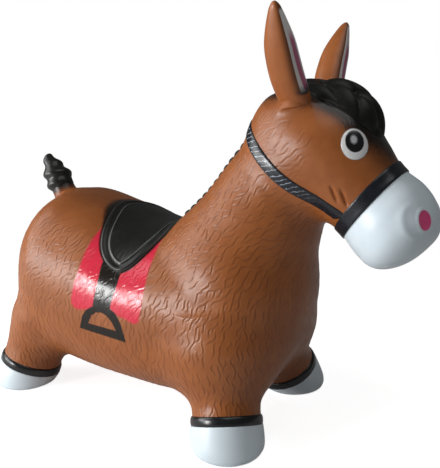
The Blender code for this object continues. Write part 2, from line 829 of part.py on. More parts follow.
def leg_axis(end, side):
    """The unit vector up a leg; end is 1 in front and -1 behind, side is 1 on the left and -1 on the right."""
    forward = FRONT_FORWARD_TILT if end > 0 else REAR_BACKWARD_TILT
    outward = FRONT_OUTWARD_TILT if end > 0 else REAR_OUTWARD_TILT
    return unit((-end * math.tan(forward), -side * math.tan(outward), 1.0))


def cuff_centre(end, side):
    """The middle of a cuff."""
    return np.array((end * FOOT_X, side * FOOT_Y, CUFF_Z))


def hoof(name, cuff, axis):
    """A hoof between the tilted cuff and the floor: each side runs straight down, bulges and rounds to the sole."""
    top_centre = cuff - (CUFF_WIDTH / 2 + GAP) * axis
    shift = axis * (-top_centre[2] / axis[2]) * SOLE_SHIFT_SHARE
    sole_centre = np.array((top_centre[0] + shift[0], top_centre[1] + shift[1], 0.0))
    upright = np.array((0.0, 0.0, 1.0))
    top = circle(top_centre, axis, CUFF_RADIUS, LEG_SIDES)
    sole = circle(sole_centre, upright, CUFF_RADIUS, LEG_SIDES)
    outward = sole - sole_centre
    height = top[:, 2:] / top[:, 2].max()
    rings = []
    for down, inset in HOOF_WALL_SHARES:
        bulge = inset if inset > 0 else inset * height
        rings.append((1 - down) * top + down * sole - outward * bulge)
    return mesh_of_rings(name, rings)


def cuff_ring(name, centre, axis):
    """The rolled cuff between leg and hoof."""
    half = CUFF_WIDTH / 2
    inner = CUFF_RADIUS - CUFF_THICKNESS
    edge = CUFF_ROUNDING
    profile = (
        (-half, inner),
        (-half, CUFF_RADIUS - edge),
        (-half + edge, CUFF_RADIUS),
        (half - edge, CUFF_RADIUS),
        (half, CUFF_RADIUS - edge),
        (half, inner),
    )
    return turned_ring(name, centre, axis, profile, LEG_SIDES)


def leg_distance(cuff, axis, rows, points):
    """How far points lie outside a leg, negative inside: off its axis less the radius there, or past an end."""
    offset = points - cuff + CUFF_WIDTH / 2 * axis
    along = offset @ axis
    off_axis = np.linalg.norm(offset - along[:, None] * axis, axis=1)
    radius = smooth_rows(rows, along / LEG_LENGTH)[:, 0] * LEG_FOOT_RADIUS
    return np.maximum(off_axis - radius, np.maximum(-along, along - LEG_LENGTH))


def leg(name, cuff, axis, rows):
    """A leg that flares from inside its cuff up into the torso."""
    foot = cuff - CUFF_WIDTH / 2 * axis
    stations = np.concatenate(((0.0,), np.linspace(CUFF_WIDTH / LEG_LENGTH, 1.0, LEG_RINGS)))
    shares = smooth_rows(rows, stations)[:, 0]
    profile = [(station * LEG_LENGTH, share * LEG_FOOT_RADIUS) for station, share in zip(stations, shares)]
    return turned(name, foot, axis, profile, LEG_SIDES)


def legs(body):
    """Four legs, each with its cuff and its hoof."""
    for end, end_name in ((1, "front"), (-1, "rear")):
        for side, side_name in ((1, "left"), (-1, "right")):
            place = f"{end_name}_{side_name}"
            cuff = cuff_centre(end, side)
            axis = leg_axis(end, side)
            upper = add_piece(f"leg_{place}", body.legs[place], BROWN)
            cut(upper, body.torso_cutter)
            add_piece(f"hoof_band_{place}", cuff_ring(f"hoof_band_{place}", cuff, axis), BLACK)
            add_piece(f"hoof_{place}", hoof(f"hoof_{place}", cuff, axis), WHITE)


# Ears


def ear_mesh(name, foot, axis):
    """A ball that narrows into a leaf whose front is hollow."""
    forward, across = square_frame(axis)
    angle = np.arange(SMALL_SIDES) * 2 * math.pi / SMALL_SIDES
    front = np.clip(np.cos(angle), 0, 1)
    back = np.clip(np.cos(angle), -1, 0)
    half_width = EAR_WIDTH / 2
    half_thickness = EAR_THICKNESS / 2
    rings = []
    for along, radius in ball_profile(EAR_BALL_RADIUS, 0.0, math.pi / 2, CAP_RINGS)[:-1]:
        rings.append(circle(foot + along * axis, axis, radius, SMALL_SIDES))
    body_stations = np.linspace(0.0, EAR_LENGTH - EAR_TIP_CAP, EAR_RINGS)
    tip = np.linspace(0, math.pi / 2, CAP_RINGS)[1:]
    stations = np.concatenate((body_stations, EAR_LENGTH - EAR_TIP_CAP * (1 - np.sin(tip))))
    sizes, hollows = smooth_rows(EAR_SHARES, stations / EAR_LENGTH).T
    closes = closing(stations, EAR_LENGTH, 0.0, EAR_TIP_CAP)
    rooting = np.clip(stations / (2 * EAR_BALL_RADIUS), 0, 1)[:, None]
    for station, size, hollow, close, root in zip(stations, sizes, hollows, closes, rooting):
        flat_front = EAR_FRONT_SHARE * np.sqrt(front) - EAR_HOLLOW_SHARE * hollow * front**2
        leaf_x = half_width * size * close * (back + (1 - hollow) * front + hollow * flat_front)
        leaf_y = half_thickness * size * close * np.sin(angle)
        ball = EAR_BALL_RADIUS
        x = (1 - root) * ball * np.cos(angle) + root * leaf_x
        y = (1 - root) * ball * np.sin(angle) + root * leaf_y
        rings.append(foot + station * axis + x[:, None] * forward + y[:, None] * across)
    return mesh_of_rings(name, rings)


def ears(body):
    """Two ears, each on a ball in a cup of the head, and the cutters that leave them room to swing."""
    rooms = []
    root = 2 * EAR_BALL_RADIUS
    middle = head_at(body, EAR_FOOT_SHARES)
    for side, name in ((1, "ear_left"), (-1, "ear_right")):
        foot = middle + np.array((0.0, side * EAR_ASIDE_SHARE * HEAD_WIDTH, 0.0))
        axis = unit((-math.tan(EAR_BACKWARD_TILT), side * math.tan(EAR_OUTWARD_TILT), 1.0))
        mesh = ear_mesh(name, foot, axis)
        rooms.append(swing_room(f"{name}_room", foot, axis, EAR_BALL_RADIUS, EAR_WIDTH / 2, root, EAR_SWING))
        add_piece(name, mesh, BROWN, pivot=foot)
    cut(body.head, *rooms)
    cut(body.neck, *rooms)
    return rooms


# Tail


def tail(body):
    """A dock on a ball in the rump, and the twisted lock that stands on it."""
    foot = np.array((DOCK_X, 0.0, DOCK_Z))
    axis = unit((-math.sin(TAIL_LEAN), 0.0, math.cos(TAIL_LEAN)))
    profile = ball_profile(DOCK_RADIUS, 0.0, math.pi / 2, CAP_RINGS)
    profile += [(DOCK_LENGTH / 2, (DOCK_RADIUS + DOCK_TOP_RADIUS) / 2), (DOCK_LENGTH, DOCK_TOP_RADIUS)]
    dock = turned("tail_dock", foot, axis, profile, SMALL_SIDES)
    room = swing_room("dock_room", foot, axis, DOCK_RADIUS, DOCK_TOP_RADIUS, DOCK_LENGTH, TAIL_SWING)
    cut(body.torso, room)
    add_piece("tail_dock", dock, BROWN, pivot=foot)
    base = foot + (DOCK_LENGTH + GAP) * axis
    stations = ring_stations(TAIL_LENGTH, 0.0, TAIL_TIP_CAP, TAIL_LENGTH / TAIL_RINGS)
    shares = smooth_rows(TAIL_SHARES, stations / TAIL_LENGTH)[:, 0]
    closes = closing(stations, TAIL_LENGTH, 0.0, TAIL_TIP_CAP)
    first, second = square_frame(axis)
    angle = np.arange(SMALL_SIDES) * 2 * math.pi / SMALL_SIDES
    rings = []
    for station, share, close in zip(stations, shares, closes):
        turn = TAIL_TURNS_SHARE * 2 * math.pi * station / TAIL_LENGTH
        lobe = 1 + TAIL_LOBE_SHARE * np.cos(2 * (angle - turn)) * min(1.0, station / DOCK_TOP_RADIUS)
        radius = TAIL_RADIUS * share * close * lobe
        around = np.cos(angle)[:, None] * first + np.sin(angle)[:, None] * second
        rings.append(base + station * axis + radius[:, None] * around)
    add_piece("tail", mesh_of_rings("tail", rings), BLACK, 0.25, pivot=foot)


# Hair


def mane(body):
    """The scalloped mane down the crest of the neck."""
    neck = body.neck_form
    steps = MANE_RINGS_PER_SCALLOP * MANE_SCALLOPS
    half_turns = np.linspace(0, math.pi, MANE_SIDES)
    across = np.array((0.0, 1.0, 0.0))
    rings = []
    for step in range(steps + 1):
        share = MANE_FOOT_SHARE + (MANE_TOP_SHARE - MANE_FOOT_SHARE) * step / steps
        origin = neck.at(share * neck.length)
        crest = outermost(body.tree, origin, neck.up)
        wave = 1 - MANE_SCALLOP_SHARE * math.cos(2 * math.pi * step * MANE_SCALLOPS / steps)
        from_foot = (step + 1) / MANE_SCALLOPS / 2
        from_top = (steps + 1 - step) / MANE_SCALLOPS
        taper = math.sin(math.pi / 2 * min(1.0, from_foot, from_top))
        height = MANE_HEIGHT * wave * taper
        half = MANE_HALF_WIDTH * taper
        top = crest[None, :] + np.cos(half_turns)[:, None] * half * across
        top = top + np.sin(half_turns)[:, None] * height * neck.up
        low = crest - SINK * neck.up
        rings.append(np.vstack((top, low - half * across, low + half * across)))
    piece = add_piece("mane", mesh_of_rings("mane", rings), BLACK)
    cut(piece, body.body_cutter)


def forelock(body, ear_rooms):
    """The curls of the forelock, from between the ears over the brow."""
    middle = body.head_form.at(FORELOCK_CENTRE_SHARE * HEAD_LENGTH)
    angle = np.arange(2 * SMALL_SIDES) * math.pi / SMALL_SIDES
    forward = np.array((1.0, 0.0, 0.0))
    across = np.array((0.0, 1.0, 0.0))
    upward = np.array((0.0, 0.0, 1.0))
    tilt = (FORELOCK_BACK + FORELOCK_FRONT) / 2
    swing = (FORELOCK_BACK - FORELOCK_FRONT) / 2
    origins = []
    directions = []
    heights = []
    for ring in np.linspace(0, 1, FORELOCK_RINGS):
        along = ring * np.cos(angle)
        aside = ring * np.sin(angle)
        pitch = tilt + swing * along
        yaw = FORELOCK_SPREAD * aside
        level = np.cos(pitch)[:, None] * forward + np.sin(pitch)[:, None] * upward
        way = level * np.cos(yaw)[:, None] + np.sin(yaw)[:, None] * across
        curl = np.cos(math.pi * FORELOCK_CURLS_ALONG * along) * np.cos(math.pi * FORELOCK_CURLS_ACROSS * aside)
        crown = math.sqrt(1 - ring**FORELOCK_CROWN_SHARE)
        crown = crown * (1 + FORELOCK_CURL_SHARE * curl - FORELOCK_FRONT_SHARE * along)
        origins.append(np.tile(middle, (len(angle), 1)))
        directions.append(way)
        heights.append(FORELOCK_THICKNESS * crown)
    patch = draped("forelock", body.head_tree, origins, directions, heights, SINK)
    piece = add_piece("forelock", patch, BLACK)
    cut(piece, *ear_rooms, body.body_cutter)


# Saddle and eyes


def saddle(body):
    """The raised saddle, laid over the back and down both flanks."""
    form = body.torso_form
    half_way = np.arange(SMALL_SIDES + 1) / SMALL_SIDES
    outline_x, outline_y = smooth_rows(SADDLE_OUTLINE_SHARES, half_way).T
    outline_x = np.concatenate((outline_x, outline_x[-2:0:-1]))
    outline_y = np.concatenate((outline_y, -outline_y[-2:0:-1]))
    origins = []
    directions = []
    heights = []
    for ring, height in SADDLE_HEIGHT_SHARES:
        x = SADDLE_MID_X + SADDLE_HALF_LENGTH * ring * outline_x
        roll = SADDLE_DROP * ring * outline_y
        origins.append(np.stack((x, np.zeros_like(x), np.full_like(x, form.start[2])), axis=1))
        directions.append(np.stack((np.zeros_like(x), np.sin(roll), np.cos(roll)), axis=1))
        heights.append(np.full_like(x, SADDLE_THICKNESS * height))
    piece = add_piece("saddle", draped("saddle", body.torso_tree, origins, directions, heights, SINK), BLACK)
    cut(piece, body.body_cutter)


def eyes(body):
    """Two slightly domed eyes on the front corners of the head."""
    angle = np.arange(SMALL_SIDES) * 2 * math.pi / SMALL_SIDES
    centre = head_at(body, EYE_SHARES)
    for side, name in ((1, "eye_left"), (-1, "eye_right")):
        forward = math.sin(EYE_ANGLE)
        facing = unit((forward, math.cos(EYE_ANGLE) * side, forward * EYE_UPWARD_SHARE))
        level = unit(np.cross(np.array((0.0, 0.0, 1.0)), facing))
        upward = np.cross(facing, level)
        origins = []
        directions = []
        heights = []
        for ring, dome in EYE_DOME_SHARES:
            offset = (
                EYE_HALF_WIDTH * ring * np.cos(angle)[:, None] * level
                + EYE_HALF_HEIGHT * ring * np.sin(angle)[:, None] * upward
            )
            origins.append(centre + offset)
            directions.append(np.tile(facing, (len(angle), 1)))
            heights.append(np.full(len(angle), GAP + EYE_DOME * dome))
        piece = add_piece(name, draped(name, body.head_tree, origins, directions, heights, SINK / 2), WHITE, 0.3)
        cut(piece, body.head_cutter)


# Valve


def valve(body):
    """The moulded seat in the back of the rump and the plug that is pushed into it."""
    inward = np.array((1.0, 0.0, 0.0))
    rump = outermost(body.torso_tree, body.torso_form.at(RUMP_CAP), -inward)
    face = rump - VALVE_FLANGE_THICKNESS * inward
    seat_top = VALVE_FLANGE_THICKNESS + VALVE_SEAT_DEPTH
    profile = (
        (VALVE_BORE_DEPTH, 0.0),
        (VALVE_BORE_DEPTH, VALVE_BORE_RADIUS),
        (0.0, VALVE_BORE_RADIUS),
        (0.0, VALVE_FLANGE_RADIUS),
        (VALVE_FLANGE_THICKNESS, VALVE_FLANGE_RADIUS),
        (VALVE_FLANGE_THICKNESS, VALVE_SEAT_RADIUS),
        (seat_top, VALVE_SEAT_RADIUS),
        (seat_top, 0.0),
    )
    add_piece("valve_seat", turned("valve_seat", face, inward, profile, SMALL_SIDES), GREY)
    pocket_profile = (
        (-SINK, 0.0),
        (-SINK, VALVE_FLANGE_RADIUS + GAP),
        (VALVE_FLANGE_THICKNESS + GAP, VALVE_FLANGE_RADIUS + GAP),
        (VALVE_FLANGE_THICKNESS + GAP, VALVE_SEAT_RADIUS + GAP),
        (seat_top + GAP, VALVE_SEAT_RADIUS + GAP),
        (seat_top + GAP, 0.0),
    )
    pocket = turned("valve_pocket", face, inward, pocket_profile, SMALL_SIDES)
    cut(body.torso, add_cutter("valve_pocket", pocket))
    shank = VALVE_BORE_RADIUS - GAP
    plug_profile = (
        (-PLUG_HEAD_THICKNESS - GAP, 0.0),
        (-PLUG_HEAD_THICKNESS - GAP, PLUG_HEAD_RADIUS),
        (-GAP, PLUG_HEAD_RADIUS),
        (-GAP, shank),
        (PLUG_SHANK_LENGTH, shank * PLUG_TAPER_SHARE),
        (PLUG_SHANK_LENGTH, 0.0),
    )
    add_piece("valve_plug", turned("valve_plug", face, inward, plug_profile, SMALL_SIDES), GREY, pivot=face)


def centre_over_origin():
    """Carry everything on one empty, moved so that the toy's box is centred over the origin."""
    low = math.inf
    high = -math.inf
    for piece in bpy.data.objects:
        if not piece.hide_render:
            xs = [vertex.co.x + piece.location.x for vertex in piece.data.vertices]
            low = min(low, min(xs))
            high = max(high, max(xs))
    toy = bpy.data.objects.new("toy", None)
    pieces = list(bpy.data.objects)
    bpy.context.collection.objects.link(toy)
    for piece in pieces:
        if piece is not toy:
            piece.parent = toy
    toy.location = (-(low + high) / 2, 0.0, 0.0)
    print(f"feet's middle to box centre {(low + high) / 2:.4f} m")


def main():
    """Build the toy."""
    for old in list(bpy.data.objects):
        bpy.data.objects.remove(old)
    body = Body()
    add_piece("noseband", noseband(body.head_form), BLACK)
    strap = add_piece("cheek_strap", cheek_strap(body), BLACK)
    cut(strap, body.body_cutter, noseband_room(body.head_form))
    legs(body)
    ear_rooms = ears(body)
    tail(body)
    mane(body)
    forelock(body, ear_rooms)
    saddle(body)
    eyes(body)
    valve(body)
    centre_over_origin()


main()
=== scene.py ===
"""Looks of an inflatable ride-on horse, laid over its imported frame.

The toy is one soft vinyl moulding. Its skin is worked out as a level surface of blended forms, engraved with
short wavy strokes of coat, and painted through masks with a saddle cloth, stirrups and dark hair. Muzzle,
saddle, bridle, mane, forelock, eyes, ears, tail, hooves and valve are surfaces of their own.

Shapes are worked out in metres about the point midway between the four feet, with the nose towards +X and the
horse's left side towards +Y. Each mesh is moved into the row frame as it is made.
"""

import logging
import math
from collections.abc import Callable
from dataclasses import dataclass, field
from enum import Enum

import bpy
import numpy as np
from mathutils import Matrix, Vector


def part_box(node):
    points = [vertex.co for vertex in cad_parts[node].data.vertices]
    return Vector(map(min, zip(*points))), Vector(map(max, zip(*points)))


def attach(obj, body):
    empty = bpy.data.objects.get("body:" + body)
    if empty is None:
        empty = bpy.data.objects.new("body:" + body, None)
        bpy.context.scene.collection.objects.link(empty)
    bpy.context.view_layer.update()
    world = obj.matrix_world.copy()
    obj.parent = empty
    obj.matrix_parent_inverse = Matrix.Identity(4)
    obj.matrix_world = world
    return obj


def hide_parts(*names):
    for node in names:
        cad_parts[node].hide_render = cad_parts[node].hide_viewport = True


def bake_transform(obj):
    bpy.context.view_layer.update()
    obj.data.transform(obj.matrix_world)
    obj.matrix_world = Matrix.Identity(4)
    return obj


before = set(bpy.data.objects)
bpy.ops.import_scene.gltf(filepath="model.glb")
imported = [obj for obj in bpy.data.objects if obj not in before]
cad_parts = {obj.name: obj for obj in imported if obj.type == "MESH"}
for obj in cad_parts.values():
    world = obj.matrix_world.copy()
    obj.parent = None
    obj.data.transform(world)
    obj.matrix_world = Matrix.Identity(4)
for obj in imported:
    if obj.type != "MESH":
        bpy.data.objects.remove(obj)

Array = np.ndarray
Rows = tuple[tuple[float, ...], ...]
Pair = tuple[float, float]
Point = tuple[float, float, float]
Colour = tuple[float, float, float, float]
Strokes = tuple[Array, Array, Array, Array]
Piece = bpy.types.Object
Material = bpy.types.Material
Tree = bpy.types.NodeTree
Node = bpy.types.Node
Socket = bpy.types.NodeSocket

log = logging.getLogger("ride_on_horse")

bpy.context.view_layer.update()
FORWARD = np.array((1.0, 0.0, 0.0))
ACROSS = np.array((0.0, 1.0, 0.0))
UPRIGHT = np.array((0.0, 0.0, 1.0))
END_BLUNTNESS = 2.5
TIP_GAP = 1e-6
SLOPE_STEP = 0.0002
FAR_FROM_PAINT = 0.1


# Arithmetic shared by the shapes


def smooth_rows(rows: Rows, at: Array) -> Array:
    """Read a table on a curve that passes smoothly through its rows.

    Between two rows it is the cubic with the rows' own slopes at its ends. A row's slope is the weighted mean
    of the straight slopes on either side.

    Args:
        rows: Station first, then the values at it.
        at: Stations to read.

    Returns:
        One line of values for each station.
    """
    table = np.array(rows, float)
    x = table[:, 0]
    y = table[:, 1:]
    step = np.diff(x)[:, None]
    slope = np.diff(y, axis=0) / step
    inner = (slope[1:] * step[:-1] + slope[:-1] * step[1:]) / (step[1:] + step[:-1])
    tangent = np.vstack((slope[:1], inner, slope[-1:]))
    at = np.clip(np.asarray(at, float), x[0], x[-1])
    k = np.clip(np.searchsorted(x, at, side="right") - 1, 0, len(x) - 2)
    h = step[k]
    t = (at - x[k])[:, None] / h
    start = (2 * t**3 - 3 * t**2 + 1) * y[k] + (t**3 - 2 * t**2 + t) * h * tangent[k]
    return start + (3 * t**2 - 2 * t**3) * y[k + 1] + (t**3 - t**2) * h * tangent[k + 1]


def signed_power(value: Array, power: float) -> Array:
    """Raise to a power and keep the sign."""
    return np.sign(value) * np.abs(value) ** power


def ramp(value: Array, low: float, high: float) -> Array:
    """Rise smoothly from 0 at low to 1 at high: three t squared less two t cubed."""
    t = np.clip((value - low) / (high - low), 0, 1)
    return t * t * (3 - 2 * t)


def bell(value: Array, middle: float | Array, width: float | Array) -> Array:
    """Rise to 1 at the middle: e to minus the square of the distance from it in widths."""
    return np.exp(-(((value - middle) / width) ** 2))


def rounded(share: Array) -> Array:
    """Close a rounded end: the b-th root of 1 less what is left to the power of b, the end bluntness."""
    return (1 - (1 - np.clip(share, 0, 1)) ** END_BLUNTNESS) ** (1 / END_BLUNTNESS)


def capped_stations(start: float, end: float, cap: float, before: int, within: int) -> Array:
    """Space stations evenly up to a rounded end, and by the sine of a quarter turn within it.

    Args:
        start: The first station.
        end: Where the form ends; the last station is a hair short of it.
        cap: Length of the rounded end.
        before: How many stations come before it.
        within: How many lie in it.

    Returns:
        The stations in order.
    """
    quarter = np.sin(np.linspace(0, math.pi / 2, within))
    even = np.linspace(start, end - cap, before, endpoint=False)
    stations = np.concatenate((even, end - cap * (1 - quarter)))
    stations[-1] = end - TIP_GAP
    return stations


def turn_angles(sides: int) -> Array:
    """Divide a full turn into even steps."""
    return np.arange(sides) * 2 * math.pi / sides


def slope_of(distance: Callable[[Array], Array], points: Array) -> tuple[Array, Array]:
    """Measure a distance and its gradient, by a small step along each axis.

    Args:
        distance: What measures the distance at points.
        points: Points about the feet's middle.

    Returns:
        The distances, and their gradients.
    """
    here = distance(points)
    steps = [distance(points + SLOPE_STEP * axis) - here for axis in np.eye(3)]
    return here, np.stack(steps, axis=1) / SLOPE_STEP


def blended(first: Array, second: Array, width: float) -> Array:
    """Join two distances with a fillet: the smaller, less a parabola where they differ by under the width."""
    h = np.clip(0.5 + 0.5 * (second - first) / width, 0, 1)
    return second + (first - second) * h - width * h * (1 - h)


def unit(vectors: Array) -> Array:
    """Bring each vector to length 1."""
    size = np.linalg.norm(vectors, axis=-1, keepdims=True)
    return vectors / np.maximum(size, 1e-12)


def square_frame(axis: Array) -> tuple[Array, Array]:
    """Find two unit vectors square to an upright or slanting axis, the first as near to +X as it can be."""
    first = unit(FORWARD - np.dot(FORWARD, axis) * axis)
    return first, np.cross(axis, first)


def ways_round(axis: Array, sides: int) -> Array:
    """Find unit vectors square to an axis, evenly round it.

    Args:
        axis: The axis, of length 1.
        sides: How many vectors.

    Returns:
        One row for each vector.
    """
    first, second = square_frame(axis)
    angle = turn_angles(sides)
    return np.cos(angle)[:, None] * first + np.sin(angle)[:, None] * second


def pairs_within(near: Array, among: Array, radius: float) -> tuple[Array, Array]:
    """Find every pair of points closer than a radius.

    One set is sorted into cubic cells, and the 27 cells round each point of the other are read.

    Args:
        near: Points to look from.
        among: Points to look for.
        radius: Greatest distance of a pair, and the size of a cell.

    Returns:
        The pairs' numbers in near, and their numbers in among.
    """
    low = np.minimum(near.min(0), among.min(0)) - 2 * radius
    near_cell = np.floor((near - low) / radius).astype(np.int64)
    among_cell = np.floor((among - low) / radius).astype(np.int64)
    span = np.maximum(near_cell.max(0), among_cell.max(0)) + 3
    weights = np.array((span[1] * span[2], span[2], 1))
    keys = among_cell @ weights
    order = np.argsort(keys, kind="stable")
    keys = keys[order]
    found_near = []
    found_among = []
    for shift in np.ndindex(3, 3, 3):
        wanted = (near_cell + np.array(shift) - 1) @ weights
        first = np.searchsorted(keys, wanted, side="left")
        count = np.searchsorted(keys, wanted, side="right") - first
        owner = np.repeat(np.arange(len(near)), count)
        offset = np.arange(count.sum()) - np.repeat(np.cumsum(count) - count, count)
        other = order[np.repeat(first, count) + offset]
        close = ((near[owner] - among[other]) ** 2).sum(1) < radius**2
        found_near.append(owner[close])
        found_among.append(other[close])
    return np.concatenate(found_near), np.concatenate(found_among)


def polygon_distance(x: Array, y: Array, corners: Rows | Array) -> Array:
    """Measure the distance to a polygon's edge, negative inside.

    The size is the least distance to any edge, each taken as the nearest point of a segment. The sign comes
    from counting the edges crossed by a line towards +x.

    Args:
        x: First coordinate of the points.
        y: Second coordinate of the points.
        corners: The polygon's corners in order.

    Returns:
        The signed distance of each point.
    """
    points = np.array(corners, float)
    inside = np.zeros(x.shape, bool)
    nearest = np.full(x.shape, np.inf)
    for a, b in zip(points, np.roll(points, -1, axis=0)):
        edge = b - a
        t = np.clip(((x - a[0]) * edge[0] + (y - a[1]) * edge[1]) / (edge @ edge), 0, 1)
        nearest = np.minimum(nearest, np.hypot(x - a[0] - t * edge[0], y - a[1] - t * edge[1]))
        if a[1] != b[1]:
            crosses = (a[1] > y) != (b[1] > y)
            inside ^= crosses & (x < edge[0] * (y - a[1]) / edge[1] + a[0])
    return np.where(inside, -nearest, nearest)


# Meshes


def feet_middle_x() -> float:
    """Find the feet's middle in the row frame: halfway between the front and rear hoof bands' boxes."""
    centres = [sum(corner.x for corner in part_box(f"hoof_band_{end}_left")) / 2 for end in ("front", "rear")]
    return sum(centres) / 2


MIDDLE_X = feet_middle_x()


def row_point(point: Array | Point) -> Point:
    """Move a point from the feet's middle into the row frame."""
    return (float(point[0]) + MIDDLE_X, float(point[1]), float(point[2]))


@dataclass
class Sheet:
    """Points and faces of a surface, with values that ride on its points."""

    points: Array
    faces: list[Array]
    values: dict[str, Array] = field(default_factory=dict)

    def volume(self) -> float:
        """Find the signed volume inside: a sixth of the triple products of its triangles.

        Returns:
            The volume, negative where the faces point inwards.
        """
        total = 0.0
        for faces in self.faces:
            for k in range(1, faces.shape[1] - 1):
                a, b, c = (self.points[faces[:, i]] for i in (0, k, k + 1))
                total += float(np.einsum("ij,ij->", a, np.cross(b, c)))
        return total / 6

    def outward(self) -> "Sheet":
        """Turn every face the other way where the volume comes out negative.

        Returns:
            This sheet, or the same one with its faces turned.
        """
        if self.volume() < 0:
            self.faces = [faces[:, ::-1] for faces in self.faces]
        return self

    def joined(self, other: "Sheet") -> "Sheet":
        """Put two sheets into one, without welding them.

        Args:
            other: The sheet to add.

        Returns:
            A sheet that holds both.
        """
        shift = len(self.points)
        values = {name: np.concatenate((self.values[name], other.values[name])) for name in self.values}
        faces = self.faces + [part + shift for part in other.faces]
        return Sheet(np.vstack((self.points, other.points)), faces, values)


def loft(rings: Array, values: dict[str, Array] | None = None, looped: bool = False) -> Sheet:
    """Skin a stack of closed rings, and close each end on the ring's mean point.

    Args:
        rings: Points as ring, place on the ring, coordinate.
        values: Named values as ring, place on the ring.
        looped: Whether the last ring joins the first, so that there are no ends.

    Returns:
        A closed sheet with its faces outwards.
    """
    count, sides = rings.shape[:2]
    number = np.arange(count * sides).reshape(count, sides)
    below = number if looped else number[:-1]
    above = np.roll(number, -1, axis=0) if looped else number[1:]
    quads = np.stack((below, np.roll(below, -1, 1), np.roll(above, -1, 1), above), axis=-1).reshape(-1, 4)
    points = rings.reshape(-1, 3)
    named = {name: value.reshape(-1) for name, value in (values or {}).items()}
    faces = [quads]
    if not looped:
        poles = np.stack((rings[0].mean(0), rings[-1].mean(0)))
        first, last = len(points), len(points) + 1
        points = np.vstack((points, poles))
        low = number[0]
        high = number[-1]
        start = np.stack((np.roll(low, -1), low, np.full(sides, first)), axis=-1)
        end = np.stack((high, np.roll(high, -1), np.full(sides, last)), axis=-1)
        faces += [start, end]
        for name, value in (values or {}).items():
            named[name] = np.concatenate((named[name], (value[0].mean(), value[-1].mean())))
    return Sheet(points, faces, named).outward()


def make_object(name: str, sheet: Sheet) -> Piece:
    """Write a sheet into a smooth-shaded mesh object in the row frame.

    Args:
        name: Name of the object.
        sheet: Its points, faces and values.

    Returns:
        The object, linked to the scene, with its values as point attributes.
    """
    mesh = bpy.data.meshes.new(name)
    points = sheet.points + MIDDLE_X * FORWARD
    mesh.vertices.add(len(points))
    mesh.vertices.foreach_set("co", points.astype(np.float32).ravel())
    sizes = np.concatenate([np.full(len(faces), faces.shape[1]) for faces in sheet.faces])
    corners = np.concatenate([faces.ravel() for faces in sheet.faces])
    mesh.loops.add(len(corners))
    mesh.loops.foreach_set("vertex_index", corners.astype(np.int32))
    mesh.polygons.add(len(sizes))
    mesh.polygons.foreach_set("loop_start", (np.cumsum(sizes) - sizes).astype(np.int32))
    mesh.update(calc_edges=True)
    mesh.shade_smooth()
    for key, value in sheet.values.items():
        attribute = mesh.attributes.new(key, "FLOAT", "POINT")
        attribute.data.foreach_set("value", np.asarray(value, np.float32))
    piece = bpy.data.objects.new(name, mesh)
    bpy.context.collection.objects.link(piece)
    return piece


# Forms


